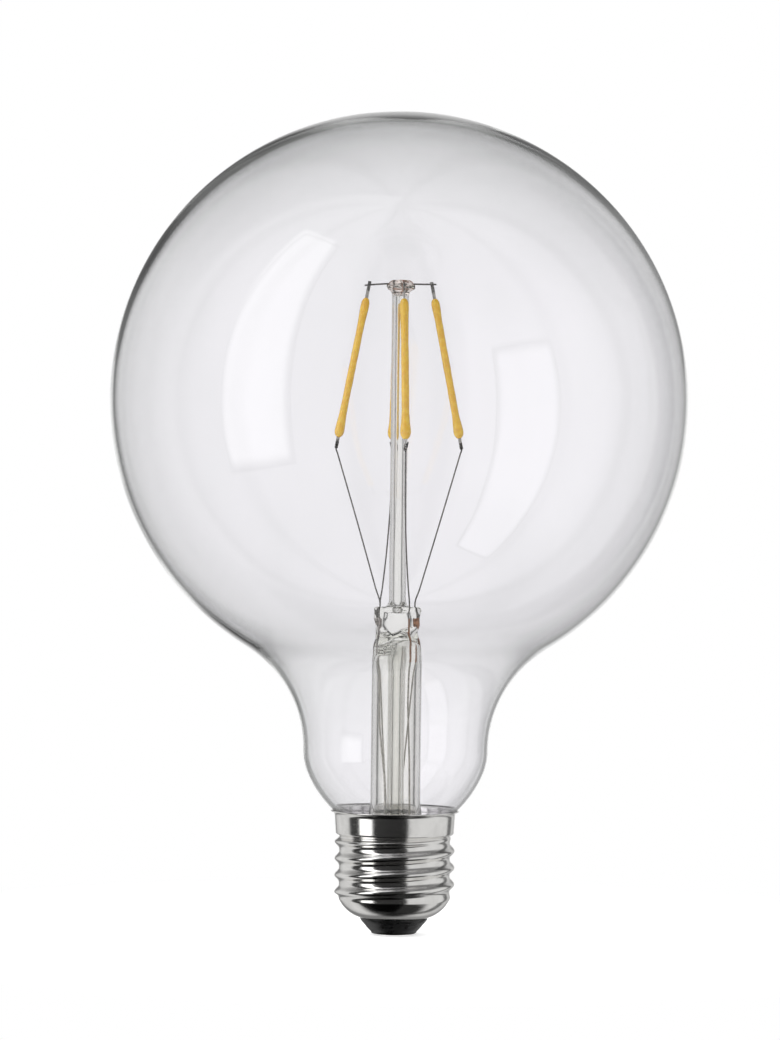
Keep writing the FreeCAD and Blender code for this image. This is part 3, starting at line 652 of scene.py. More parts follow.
def envelope_profile(glass):
    """Outer face from the crown down: globe, shoulder and foot arcs, a flatter arc and a straight tail.

    The shoulder's centre is as far from the globe's as the two radii together. The flatter arc leaves the
    foot arc on its tangent and meets the cap's rim. The tail runs on inside the cap, to the end of the line
    that would touch the foot arc and pass the rim.
    """
    reach = glass.neck_radius + glass.shoulder_radius
    drop = math.sqrt((glass.globe_radius + glass.shoulder_radius) ** 2 - reach**2)
    leave = math.degrees(math.atan2(-drop, reach))
    foot = np.array([glass.neck_radius - glass.foot_radius, glass.neck_height])
    mouth = np.array([glass.mouth_radius, glass.mouth_height])
    inward = mouth - foot
    slant = math.atan2(inward[1], inward[0]) + math.acos(glass.foot_radius / np.linalg.norm(inward))
    touch = foot + glass.foot_radius * ray(slant)
    end = touch + (touch[1] - glass.neck_end) * np.array([math.tan(slant), -1.0])
    flatter = glass.foot_share * slant
    start = foot + glass.foot_radius * ray(flatter)
    return np.vstack([
        arc((0.0, glass.globe_height), glass.globe_radius, 90.0, leave, 120),
        arc((reach, glass.neck_height), glass.shoulder_radius, 180.0 + leave, 180.0, 26)[1:],
        arc(foot, glass.foot_radius, 0.0, math.degrees(flatter), 14)[1:],
        tangent_arc(start, (math.sin(flatter), -math.cos(flatter)), mouth, 16)[1:],
        np.linspace(mouth, end, 6)[1:],
    ])


def envelope_surface(glass, columns=208):
    """The outer face turned about the axis, and the inner face at the wall's depth along the inward normal.

    The wall grows with the square of the height over the globe's centre, is a little thicker at the shoulder,
    by a bell curve, and varies once round with the cosine of the angle from the left, except at the crown.
    """
    profile = envelope_profile(glass)
    profile[0, 0] = 0.0
    along = unit_rows(np.gradient(profile, axis=0))
    along[0] = (1.0, 0.0)
    height = profile[:, 1]
    rise = np.clip((height - glass.globe_height) / glass.globe_radius, 0.0, 1.0)
    wall = glass.wall + (glass.crown_wall - glass.wall) * rise**2
    wall = wall + glass.shoulder_wall * bell(height, glass.shoulder_height, glass.shoulder_spread)
    turn = round_angles(columns)
    fade = (1.0 - rise**4)[:, None]
    depth = wall[:, None] * (1.0 - glass.uneven * np.cos(turn) * fade)
    inner_radius = profile[:, :1] + along[:, 1:] * depth
    inner_radius[0] = 0.0
    inner = about_axis(inner_radius, profile[:, 1:] - along[:, :1] * depth, turn)
    inner[0] = inner[0].mean(axis=0)
    return np.concatenate([turned(profile, columns), inner[::-1]])


def flattened(stations, steps, columns):
    """Grid of rounded sections up the stem: x and y follow a power of cosine and sine.

    Each station is (height, half width, half depth, roundness) in millimetres; a roundness of 2 is an
    ellipse and more is squarer.
    """
    height, wide, deep, power = smooth_through(stations, steps).T[:, :, None]
    turn = round_angles(columns)
    across, out = np.cos(turn), np.sin(turn)
    x = wide * np.sign(across) * np.abs(across) ** (2.0 / power)
    y = deep * np.sign(out) * np.abs(out) ** (2.0 / power)
    return np.stack([x, y, height + 0.0 * turn], axis=-1) * MM


def stem_outside(stem, columns=120):
    """Outer face of the fused stem from the lip up: flare, tube, pinched press, post and button.

    Rounded sections through the stations, then the press's thin pad and the waves of melted glass.
    """
    tube_r, post = stem.tube_radius / MM, stem.post_radius / MM
    top, head = stem.press_top / MM, stem.button_top / MM
    wide, waist = stem.press_half_width / MM, stem.waist_half_width / MM
    deep, knob = stem.press_half_depth / MM, stem.button_radius / MM
    stations = [
        (22.5, 10.82, 10.82, 2.0), (23.35, 10.8, 10.8, 2.0), (23.42, 9.6, 9.6, 2.0), (23.8, 8.1, 8.1, 2.0),
        (24.9, 6.55, 6.55, 2.0), (26.4, 5.75, 5.75, 2.0), (29.0, tube_r, tube_r, 2.0),
        (44.0, tube_r, tube_r, 2.0), (58.5, tube_r, tube_r, 2.0), (60.4, 5.35, 5.0, 2.05),
        (62.2, 5.05, 3.95, 2.2), (63.8, 4.75, 3.05, 2.5), (65.4, waist, deep + 0.12, 2.9),
        (67.2, 4.72, deep, 3.1), (69.0, wide, deep + 0.1, 3.0), (70.0, wide, deep + 0.05, 2.9),
        (top - 0.25, wide - 0.3, deep - 0.25, 2.8), (top, wide - 0.9, deep - 0.75, 2.6),
        (top + 0.02, 3.2, 1.5, 2.3), (top + 0.15, 2.5, 1.95, 2.0), (top + 0.7, 2.0, 1.95, 2.0),
        (top + 1.8, post, post, 2.0), (100.0, post, post, 2.0), (head - 4.2, post, post, 2.0),
        (head - 3.0, post + 0.08, post + 0.08, 2.0), (head - 2.45, 2.35, 2.3, 2.0),
        (head - 1.9, knob - 0.1, knob - 0.2, 2.0), (head - 1.35, knob, knob - 0.1, 2.0),
        (head - 0.85, knob - 0.35, knob - 0.45, 2.0), (head - 0.35, 2.35, 2.25, 2.0),
        (head - 0.06, 1.75, 1.65, 2.0), (head, 0.9, 0.9, 2.0), (head, 0.0, 0.0, 2.0),
    ]
    grid = flattened(stations, 6, columns)
    thin_pad(grid, stem)
    melted_waves(grid, stem)
    return grid


def thin_pad(grid, stem):
    """Thins the stem's grid in a pad in the middle of the press, and dents it in front for the blow hole.

    The depth shrinks by a smooth step of one less the square of x over the pad's reach, which ripples with
    the height. The pad's lower edge sags by a bell curve, and the dent is a product of two bell curves.
    """
    x, y, z = grid[..., 0], grid[..., 1], grid[..., 2]
    foot, soft_foot, soft_top = 64.3 * MM, 2.2 * MM, 69.2 * MM
    sag, sag_place, sag_width = 1.7 * MM, -0.8 * MM, 1.7 * MM
    reach_share, ripple, ripple_length, thinner = 0.76, 0.05, 0.75 * MM, 0.34
    hole_place, hole_width, hole_height, hole_rise, dent = 1.7 * MM, 0.9 * MM, 64.5 * MM, 0.5 * MM, 0.5 * MM
    edge = foot - sag * bell(x, sag_place, sag_width)
    press = blend(0.0, soft_foot, z - edge) * (1.0 - blend(soft_top, stem.press_top, z))
    reach = stem.press_half_width * (reach_share + ripple * np.sin(z / ripple_length))
    pad = np.clip(1.0 - (x / reach) ** 2, 0.0, 1.0)
    y *= 1.0 - thinner * press * blend(0.0, 0.8, pad)
    hole = bell(x, hole_place, hole_width) * bell(z, hole_height, hole_rise)
    y += dent * hole * (y < 0.0)


def melted_waves(grid, stem):
    """Swells the press and the button of the stem's grid by small sines of the angle and the height."""
    x, y, z = grid[..., 0], grid[..., 1], grid[..., 2]
    turn = np.arctan2(y, x)
    melted, press_end = 64.0 * MM, stem.press_top + 1.0 * MM
    button_foot, button_side = stem.button_top - 3.0 * MM, stem.button_top - 2.0 * MM
    press = blend(stem.melt_start, melted, z) * (1.0 - blend(stem.press_top, press_end, z))
    button = blend(button_foot, button_side, z)
    press_wave = 0.022 * np.sin(5.0 * turn + z / (0.55 * MM)) + 0.03 * np.sin(z / (0.8 * MM))
    button_wave = 0.045 * np.sin(3.0 * turn + 0.7) + 0.018 * np.sin(7.0 * turn + z / (0.3 * MM))
    swell = 1.0 + press * press_wave + button * button_wave
    x *= swell
    y *= swell


def stem_bore(stem, columns=120):
    """Air side of the flare tube from the roof under the press down to the flare's mouth.

    The roof slopes up to the right by a hyperbolic tangent of x.
    """
    bore = stem.bore_radius / MM
    stations = [
        (62.5, 0.0, 0.0, 2.0), (62.47, 1.5, 0.6, 2.0), (62.3, 2.9, 1.1, 2.1), (61.8, 3.7, 1.7, 2.2),
        (60.9, 4.1, 2.7, 2.2), (59.5, 4.4, 3.8, 2.1), (58.0, bore, 4.4, 2.0), (56.0, bore, bore, 2.0),
        (40.0, bore, bore, 2.0), (29.0, bore, bore, 2.0), (26.0, 4.85, 4.85, 2.0), (24.2, 5.7, 5.7, 2.0),
        (23.1, 7.0, 7.0, 2.0), (22.62, 8.6, 8.6, 2.0), (22.5, 10.0, 10.0, 2.0),
    ]
    grid = flattened(stations, 6, columns)
    roof_foot, roof_top, slope, middle, half = 60.0 * MM, 62.4 * MM, 0.5 * MM, 0.2 * MM, 2.0 * MM
    roof = blend(roof_foot, roof_top, grid[..., 2])
    grid[..., 2] += roof * slope * np.tanh((grid[..., 0] - middle) / half)
    return grid


def post_cavity(stem, columns=48):
    """Hollow of the post: a straight run between two quarter circles, turned about the axis."""
    low, high, bore = stem.press_top - stem.post_socket, stem.button_top - stem.button_depth, stem.post_bore
    profile = np.vstack([
        arc((0.0, low + bore), bore, -90.0, 0.0, 8),
        arc((0.0, high - bore), bore, 0.0, 90.0, 8),
    ])
    return turned(ends_on_axis(profile), columns)


def bubbles(columns=20):
    """Bubbles in the press and the flat hollow of its blow hole: a centre plus three radii times a unit ball.

    Each is (x, y, z) of its centre and its three radii, in millimetres.
    """
    ball = turned(ends_on_axis(arc((0.0, 0.0), 1.0, -90.0, 90.0, 11)), columns)
    places = [
        ((-3.3, -0.9, 64.7), (0.26, 0.26, 0.26)), ((-2.6, -1.2, 64.0), (0.2, 0.2, 0.2)),
        ((-3.5, -0.5, 63.8), (0.17, 0.17, 0.2)), ((-1.9, -1.0, 64.6), (0.14, 0.14, 0.14)),
        ((-3.0, 0.7, 65.3), (0.2, 0.2, 0.2)), ((3.2, -0.9, 66.1), (0.16, 0.16, 0.2)),
        ((1.7, -0.5, 64.6), (1.0, 0.5, 0.42)),
    ]
    return [(ball * np.array(radii) + np.array(centre)) * MM for centre, radii in places]


def exhaust_profile(stem):
    """Wall of the thin tube: a round tip at its foot, outside and inside, and an open end in the press."""
    outer, inner, top = stem.exhaust_radius, stem.exhaust_bore, stem.exhaust_top
    centre = (0.0, stem.exhaust_tip + outer)
    outside = arc(centre, outer, 270.0, 360.0, 10)
    inside = arc(centre, inner, 360.0, 270.0, 8)
    upwards = np.linspace(outside[-1], (outer, top), 12)[1:]
    downwards = np.linspace((inner, top), inside[0], 12)[:-1]
    return ends_on_axis(np.vstack([outside, upwards, downwards, inside]))


def side_vectors(strips, side):
    """Vectors outward and across at a side's angle about the axis."""
    x, y = ray(strips.turn + math.radians(90.0 * SIDES.index(side)))
    return np.array([x, y, 0.0]), np.array([-y, x, 0.0])


def wire_height(strips, side):
    """Height of the support wire that holds a side's strip."""
    return strips.side_wire_height if side in ("left", "right") else strips.front_wire_height


def strip_frame(strips, side):
    """Foot, across, out and along vectors of a leaning strip, whose foot stands further out than its top."""
    lean = math.asin((strips.foot_reach - strips.top_reach) / strips.strip_length)
    tab_top = wire_height(strips, side) + strips.tab_past_wire
    rise = tab_top - (strips.strip_length + strips.top_tab) * math.cos(lean)
    radial, across = side_vectors(strips, side)
    along = math.cos(lean) * UP - math.sin(lean) * radial
    out = math.cos(lean) * radial + math.sin(lean) * UP
    return strips.foot_reach * radial + rise * UP, across, out, along


def strip_body(strips, side, columns=40):
    """Coated body: a profile along the leaning strip, thick at both ends, on a section that is nearly round.

    Two sines along the strip make its radius wave, and half a sine bends it. Each side has its own phase.
    """
    full = strips.strip_length / MM
    stations = [
        (0.0, 0.0), (0.04, 0.42), (0.3, 0.74), (0.85, 1.04), (1.6, 1.15), (2.6, 1.07), (4.2, 0.91),
        (6.2, 0.84), (11.0, 0.82), (16.0, 0.83), (21.0, 0.82), (25.4, 0.84), (27.4, 0.91), (28.8, 1.0),
        (29.7, 0.97), (30.3, 0.84), (30.7, 0.62), (full - 0.08, 0.4), (full, 0.0),
    ]
    rise, radius = smooth_through(stations, 8).T * MM
    long_wave, short_wave, most_bend, flatness = 1.15 * MM, 0.47 * MM, 0.16 * MM, 0.94
    phase = 1.7 * SIDES.index(side)
    wave = 1.0 + 0.02 * np.sin(rise / long_wave + phase) + 0.014 * np.sin(rise / short_wave + 2.0 * phase)
    bend = most_bend * np.sin(math.pi * rise / strips.strip_length) * math.cos(phase)
    foot, across, out, along = strip_frame(strips, side)
    turn = round_angles(columns)[:, None]
    section = np.cos(turn) * across + flatness * np.sin(turn) * out
    spine = foot + rise[:, None] * along + bend[:, None] * across
    grid = spine[:, None] + (radius * wave)[:, None, None] * section
    grid[0] = grid[0].mean(axis=0)
    grid[-1] = grid[-1].mean(axis=0)
    return grid


def crimp(strips, side):
    """Folded tab end round the lead, a short tube with three soft ridges, and the lead's stub beside it.

    The ridges are a power of a sine's size along the fold. The stub moves aside with a square root.
    """
    foot, across, out, along = strip_frame(strips, side)
    t = np.linspace(0.0, 1.0, 25)[:, None]
    fold_start, fold_length, fold_sway = 0.95, 1.45, 0.08
    fold = foot + MM * (fold_sway * np.sin(6.0 * t) * across - (fold_start + fold_length * t) * along)
    thin, ridge = 0.27, 0.12
    radius = MM * (thin + ridge * np.abs(np.sin(3.0 * math.pi * t[:, 0])) ** 0.7)
    stub_start, stub_length, stub_out, stub_radius = 2.3, 1.75, 0.1, 0.13 * MM
    aside = 0.42 * t**0.5 + 0.12 * t
    stub = foot + MM * (aside * across + stub_out * out - (stub_start - stub_length * t) * along)
    return [tube(fold, radius, 14), tube(stub, stub_radius, 10)]


def lead_path(strips, side):
    """Line of a lead wire from the crimp to inside the press, a cubic through a few points that bow a little.

    The bow is a parabola of the run. Places in the press and bows are (x, y) in millimetres.
    """
    press = {"right": (3.8, 0.6), "back": (-3.75, 0.75), "left": (-3.75, -0.75), "front": (2.6, -0.75)}
    bow = {"right": (0.05, 0.1), "back": (0.55, 0.3), "left": (0.1, -0.1), "front": (-0.4, -0.2)}
    crimp_top, crimp_foot, sealed_step = 1.0 * MM, 2.45 * MM, 1.0 * MM
    foot, _, _, along = strip_frame(strips, side)
    start, below = foot - crimp_top * along, foot - crimp_foot * along
    x, y = np.array(press[side]) * MM
    entry = np.array([x, y, strips.lead_entry])
    run = np.array([0.03, 0.3, 0.62, 0.9])[:, None]
    between = below + run * (entry - below)
    between[:, :2] += MM * np.array(bow[side]) * 4.0 * run * (1.0 - run)
    sealed = [(x, y, strips.lead_entry - sealed_step), (x, y, strips.lead_end)]
    return smooth_through(np.vstack([start, below, between, entry, sealed]), 7)


def support_path(strips, side):
    """Line of a support wire through the button; its far end droops with a power of the distance."""
    droop, droop_start, droop_power = 0.75 * MM, 0.35, 1.4
    step = np.linspace(-1.0, 1.0, 41)
    radial, across = side_vectors(strips, side)
    height = wire_height(strips, side) - droop * np.clip(-step - droop_start, 0.0, 1.0) ** droop_power
    along = strips.support_reach * step
    return along[:, None] * radial + strips.support_offset * across + height[:, None] * UP


def shell_foot(cap, start, steps):
    """Arc of the shell's rounded foot from a point at the thread's end down to the lower opening."""
    slant = (-math.sin(cap.foot_slant), -math.cos(cap.foot_slant))
    return tangent_arc(start, slant, (cap.opening_radius, cap.opening_height), steps)


def shell_rows(cap):
    """Outer face of the shell from the rim's edge to the lower opening, before the thread is rolled in.

    A flared rim, a slightly tapered collar, a soft step in to the thread's root and a rounded foot.
    """
    rim = tangent_arc(
        (cap.collar_radius, cap.collar_top),
        (cap.collar_radius - cap.collar_foot_radius, cap.collar_top - cap.collar_foot),
        (cap.rim_radius, cap.rim_height), 10,
    )[::-1]
    collar = np.linspace(rim[-1], (cap.collar_foot_radius, cap.collar_foot), 14)[1:]
    height = np.linspace(cap.collar_foot, cap.thread_foot, 160)[1:]
    step = blend(cap.collar_foot - cap.collar_step, cap.collar_foot, height)
    radius = cap.root_radius + (cap.collar_foot_radius - cap.root_radius) * step
    barrel = np.column_stack([radius, height])
    return np.vstack([rim, collar, barrel, shell_foot(cap, barrel[-1], 26)[1:]])


def thread_relief(cap, height, turn):
    """Rise of the rolled thread: a raised cosine of the helix's phase to a power, faded out at both ends.

    The phase is the height over the pitch less the angle round the axis, so the thread is right-handed.
    """
    sharpness = 1.4
    foot_fade = cap.thread_foot - 0.2 * MM, cap.thread_foot + 1.5 * MM
    collar_fade = cap.collar_foot - 1.9 * MM, cap.collar_foot - 0.5 * MM
    phase = (height - cap.thread_start) / cap.pitch - turn / (2.0 * math.pi)
    ridge = (0.5 + 0.5 * np.cos(2.0 * math.pi * phase)) ** sharpness
    return cap.thread_depth * ridge * blend(*foot_fade, height) * (1.0 - blend(*collar_fade, height))


def shell_surface(cap, columns=288):
    """Both faces of the rolled sheet, closed by half rounds at the rim and at the lower opening.

    The inner face has a third of the rows, lies a sheet deeper along the normal and carries the same relief.
    """
    lip_rows = 7
    rows = shell_rows(cap)
    along = unit_rows(np.gradient(rows, axis=0))
    inward = np.column_stack([along[:, 1], -along[:, 0]])
    turn = round_angles(columns)
    half = np.linspace(0.0, math.pi, lip_rows + 2)[1:-1, None]

    def lip(row, ahead):
        middle = rows[row] + 0.5 * cap.sheet * inward[row]
        return middle + 0.5 * cap.sheet * (ahead * np.sin(half) * along[row] - np.cos(half) * inward[row])

    inner = (rows + cap.sheet * inward)[::-3]
    profile = np.vstack([rows, lip(-1, 1.0), inner, lip(0, -1.0)[::-1]])
    smooth = np.zeros(lip_rows)
    relief_at = np.concatenate([rows[:, 1], smooth, rows[::-3, 1], smooth])
    radius = profile[:, :1] + thread_relief(cap, relief_at[:, None], turn)
    return about_axis(radius, profile[:, 1:], turn)


def insulator_profile(cap):
    """Black cone from its upper face inside the shell, out over the opening's edge and down to the foot."""
    gap = 0.02 * MM
    seat = shell_foot(cap, (cap.root_radius, cap.thread_foot), 40)
    seat = seat[seat[:, 1] < cap.insulator_floor] - np.array([cap.sheet + gap, 0.0])
    edge, edge_height = cap.opening_radius / MM, cap.opening_height / MM
    foot, contact, hole = cap.insulator_foot / MM, cap.contact_radius / MM, cap.insulator_hole / MM
    skirt = [
        (edge - 0.02, edge_height - 0.03), (edge - 0.05, edge_height - 0.25), (foot + 1.42, 2.1),
        (foot + 0.72, 1.25), (foot + 0.1, 0.62), (foot, 0.44), (foot - 0.12, 0.27), (foot - 0.36, 0.2),
        (contact + 0.25, 0.2), (contact + 0.06, 0.26), (contact + 0.05, 0.55), (hole, 0.55),
    ]
    top = [(cap.insulator_hole, cap.insulator_floor), (seat[0, 0] - 0.2 * MM, cap.insulator_floor)]
    return np.vstack([top, seat, smooth_through(skirt, 5) * MM])


def contact_profile(cap):
    """Pressed contact: a flat ring with a rolled edge, a shallow dish of solder and an eyelet."""
    edge = cap.contact_radius / MM
    stations = [
        (0.0, 0.16), (0.5, 0.1), (0.95, 0.2), (1.15, 0.12), (1.5, 0.01), (2.4, 0.0), (edge - 0.25, 0.01),
        (edge - 0.06, 0.08), (edge, 0.24), (edge, 0.48), (edge - 0.06, 0.5), (1.46, 0.5),
        (1.45, 0.6), (1.45, 6.7), (1.35, 6.85), (0.5, 6.85), (0.45, 6.7), (0.45, 0.9), (0.0, 0.7),
    ]
    return ends_on_axis(smooth_through(stations, 4) * MM)


class BULB_OT_envelope(bpy.types.Operator):
    """Makes the blown glass envelope"""

    bl_idname = "bulb.make_envelope"
    bl_label = "Glass Envelope"

    def execute(self, context):
        glass = context.scene.bulb_glass
        material = blown_glass("clear_blown_glass", glass)
        piece = make_piece("blown_envelope", material, [envelope_surface(glass)])
        place(piece, "clear_glass", "glass_envelope")
        return {"FINISHED"}


class BULB_OT_stem(bpy.types.Operator):
    """Makes the fused glass stem with its post, and the exhaust tube"""

    bl_idname = "bulb.make_stem"
    bl_label = "Glass Stem"

    def execute(self, context):
        stem = context.scene.bulb_stem
        material = blown_glass("stem_glass", stem, melted=True)
        body = np.concatenate([stem_bore(stem), stem_outside(stem)])
        hollows = [post_cavity(stem), *bubbles()]
        fused = make_piece("fused_stem_and_post", material, [body], hollows)
        place(fused, "stem_glass", "glass_stem", "support_post")
        tubing = make_piece("exhaust_tubing", material, [turned(exhaust_profile(stem), 48)])
        place(tubing, "stem_glass", "exhaust_tube")
        return {"FINISHED"}


class BULB_OT_strips(bpy.types.Operator):
    """Makes the four coated light strips and dresses their carriers"""

    bl_idname = "bulb.make_strips"
    bl_label = "Light Strips"

    def execute(self, context):
        strips = context.scene.bulb_strips
        coating = silicone_coating(strips)
        carrier = dull_metal("carrier_metal", strips.carrier, (0.34, 0.55), 0.7, scorched=strips.tab_scorch)
        for side in SIDES:
            body = make_piece(f"coated_strip_{side}", coating, [strip_body(strips, side)])
            place(body, "strip_coating", f"filament_{side}")
            dress(f"filament_strip_{side}", carrier)
        return {"FINISHED"}


class BULB_OT_wires(bpy.types.Operator):
    """Makes the support wires and the lead wires with their crimps, and dresses the sealed wires"""

    bl_idname = "bulb.make_wires"
    bl_label = "Wires"

    def execute(self, context):
        strips = context.scene.bulb_strips
        rosy = (strips.sealed_reach, strips.sealed)
        support = dull_metal("support_wire_metal", strips.support, (0.3, 0.55), sealed=rosy)
        lead = dull_metal("lead_wire_metal", strips.wire, (0.3, 0.55), scorched=strips.lead_scorch)
        outer = dull_metal("outer_lead_metal", strips.outer_lead, (0.3, 0.5))
        copper = dull_metal("copper_sheath", strips.copper, (0.25, 0.45))
        # The left and back seal wires get a paler, greyer copper than the right and front ones.
        paler_copper_colour = tuple(0.15 * value + 0.46 for value in strips.copper)
        paler_copper = dull_metal("paler_copper_metal", paler_copper_colour, (0.3, 0.5))
        for side, node in (("right", "support_wire_sides"), ("front", "support_wire_front_back")):
            wire = tube(support_path(strips, side), strips.support_radius)
            place(make_piece(f"{node}_drawn", support, [wire]), "support_metal", node)
        for side in SIDES:
            wire = tube(lead_path(strips, side), strips.lead_radius)
            crimped = make_piece(f"crimped_lead_{side}", lead, [wire, *crimp(strips, side)])
            place(crimped, "lead_metal", f"lead_wire_{side}")
            dress(f"seal_wire_{side}", copper if side in ("right", "front") else paler_copper)
            dress(f"outer_lead_{side}", outer)
        return {"FINISHED"}


class BULB_OT_cap(bpy.types.Operator):
    """Makes the threaded shell, the insulator and the contact, and dresses the cement"""

    bl_idname = "bulb.make_cap"
    bl_label = "Screw Cap"

    def execute(self, context):
        cap = context.scene.bulb_cap
        shell = make_piece("threaded_shell", plated_nickel(cap), [shell_surface(cap)], loop=True)
        place(shell, "nickel_plate", "screw_shell")
        cone = turned(insulator_profile(cap), 128)
        insulator = make_piece("insulator_cone", black_glass(cap), [cone], loop=True, sharp=35.0)
        place(insulator, "black_glass", "cap_insulator")
        tinned = dull_metal("tinned_contact", cap.contact, (0.22, 0.4), scale=700.0)
        contact = make_piece("tinned_contact", tinned, [turned(contact_profile(cap), 96)], sharp=40.0)
        place(contact, "contact_metal", "centre_contact")
        dress("cap_cement", grained("baked_cement", cap.cement, (0.75, 0.95), 1400.0, 0.08 * MM))
        return {"FINISHED"}


class BULB_OT_driver(bpy.types.Operator):
    """Dresses the driver's pieces inside the cap"""

    bl_idname = "bulb.dress_driver"
    bl_label = "Driver"

    def execute(self, context):
        case = grained("moulded_case", (0.022, 0.022, 0.024), (0.45, 0.65), 2600.0, 0.01 * MM)
        tinned = dull_metal("tinned_supply_wire", (0.58, 0.58, 0.57), (0.2, 0.4))
        board = grained("board_lacquer", (0.03, 0.16, 0.06), (0.18, 0.34), 900.0, 0.01 * MM, 0.8)
        sleeve = grained("can_sleeve", (0.03, 0.035, 0.06), (0.25, 0.4), 1200.0, 0.01 * MM)
        lacquer = grained("resistor_lacquer", (0.2, 0.32, 0.28), (0.2, 0.36), 1500.0, 0.02 * MM)
        for node, material in (
            ("driver_board", board), ("smoothing_capacitor", sleeve), ("fuse_resistor", lacquer),
            ("bridge_rectifier", case), ("current_regulator", case),
            ("contact_lead", tinned), ("shell_lead", tinned),
        ):
            dress(node, material)
        return {"FINISHED"}


def wall_levels(tree, turn, reflected):
    """Grey levels of the studio's walls round the vertical.

    Reflections show a dark camera side, pale panels left and right and darker gaps between them. What bends
    through the globe shows even walls with a darker stretch behind.
    """
    mirrored = ramp(tree, turn, [
        (0.0, 0.04), (0.155, 0.03), (0.322, 0.02), (0.328, 0.68), (0.588, 0.68), (0.598, 0.15), (0.635, 0.15),
        (0.645, 0.6), (0.675, 0.55), (0.7, 0.3), (0.79, 0.2), (0.815, 0.2), (0.84, 0.6), (0.862, 0.6),
        (0.872, 0.68), (0.972, 0.68), (0.982, 0.04),
    ])
    through = ramp(tree, turn, [
        (0.0, 0.6), (0.588, 0.6), (0.598, 0.34), (0.69, 0.36), (0.70, 0.22), (0.80, 0.16), (0.815, 0.16),
        (0.84, 0.6), (1.0, 0.6),
    ])
    return mixed(tree, reflected, through, mirrored)


def wall_fade(tree, across, back, up):
    """Share of the walls' level left high up and low down; behind and at the sides they reach lower."""
    above = eased(tree, up, 0.3, 0.8, 1.0, 0.25)
    lower = value_node(tree, "MULTIPLY_ADD", highest(tree, back, 0.0), 0.9, product(tree, across, 0.25))
    below = eased(tree, value_node(tree, "ADD", up, lower), -0.7, -0.35, 0.04, 1.0)
    return product(tree, above, below)


def backdrop_level(tree, across, back, up):
    """Bright disc behind the bulb with dark upper corners, and a pale canopy for the crown's edge."""
    disc = eased(tree, back, 0.9, 0.985)
    corners = eased(tree, product(tree, across, up), 0.008, 0.03, 1.0, 0.12)
    canopy = ramp(tree, up, [(0.15, 0.0), (0.25, 0.95), (0.37, 0.95), (0.45, 0.6), (0.58, 0.0)])
    narrow = eased(tree, across, 0.06, 0.16, 1.0, 0.0)
    canopy = product(tree, canopy, narrow, eased(tree, back, 0.0, 0.1))
    return highest(tree, product(tree, disc, corners), canopy)


def stem_level(tree, turn):
    """Pale level with two dark gaps in each quarter turn, which draw the edges of the stem's tubes."""
    quarter = value_node(tree, "PINGPONG", product(tree, turn, 4.0), 0.5)
    gap = value_node(tree, "ABSOLUTE", value_node(tree, "SUBTRACT", quarter, 0.2))
    middle = eased(tree, quarter, 0.05, 0.12, 0.22, 0.0)
    return value_node(tree, "ADD", eased(tree, gap, 0.02, 0.075, 0.1, 0.82), middle)


def studio_world():
    """White background for the camera, also straight through the globe; elsewhere the walls of a studio.

    The level depends on what a ray has met. A ray that has crossed glass also meets a grey ground, and once
    reflected inside, a bright left front. A ray through the stem has crossed more than five faces. Matt
    surfaces get a soft light that is stronger from the left.
    """
    world = bpy.data.worlds.new("studio")
    tree = new_tree(world)
    path = tree.nodes.new("ShaderNodeLightPath").outputs
    crossed, bounced, scattered = path["Transmission Depth"], path["Glossy Depth"], path["Diffuse Depth"]
    direction = tree.nodes.new("ShaderNodeTexCoord").outputs["Generated"]
    walls = tree.nodes.new("ShaderNodeTexGradient")
    walls.gradient_type = "RADIAL"
    tree.links.new(direction, walls.inputs["Vector"])
    turn = walls.outputs["Fac"]
    right, back, up = axes(tree, direction)
    across = value_node(tree, "ABSOLUTE", right)

    outside = value_node(tree, "LESS_THAN", crossed, 0.5)
    inside = value_node(tree, "SUBTRACT", 1.0, outside)
    glossy = over(tree, bounced, 0.5)
    unbent = value_node(tree, "LESS_THAN", value_node(tree, "ADD", bounced, scattered), 0.5)

    room = wall_levels(tree, turn, product(tree, glossy, outside))
    room = product(tree, room, wall_fade(tree, across, back, up))
    level = highest(tree, room, backdrop_level(tree, across, back, up))
    ground = eased(tree, up, -0.28, -0.06, 0.46, 0.0)
    glint = ramp(tree, turn, [(0.0, 1.0), (0.17, 1.0), (0.22, 0.0), (0.93, 0.0), (0.96, 1.0)])
    within = product(tree, highest(tree, ground, product(tree, glint, glossy)), inside)
    level = highest(tree, level, within)
    level = mixed(tree, over(tree, crossed, 5.5), level, stem_level(tree, turn))

    matt = highest(tree, over(tree, scattered, 0.5), product(tree, outside, unbent))
    lit_side = value_node(tree, "MULTIPLY_ADD", right, -0.5, 1.0)
    soft = product(tree, matt, eased(tree, scattered, 0.0, 1.0, 0.85, 1.25), lit_side)
    four_faces = value_node(tree, "COMPARE", crossed, 4.0, 0.5)
    white = highest(tree, product(tree, four_faces, unbent), path["Is Camera Ray"])

    background = tree.nodes.new("ShaderNodeBackground")
    background.inputs["Color"].default_value = (1.0, 1.0, 1.0, 1.0)
    tree.links.new(highest(tree, highest(tree, level, soft), white), background.inputs["Strength"])
    output = tree.nodes.new("ShaderNodeOutputWorld")
    tree.links.new(background.outputs["Background"], output.inputs["Surface"])
    return world


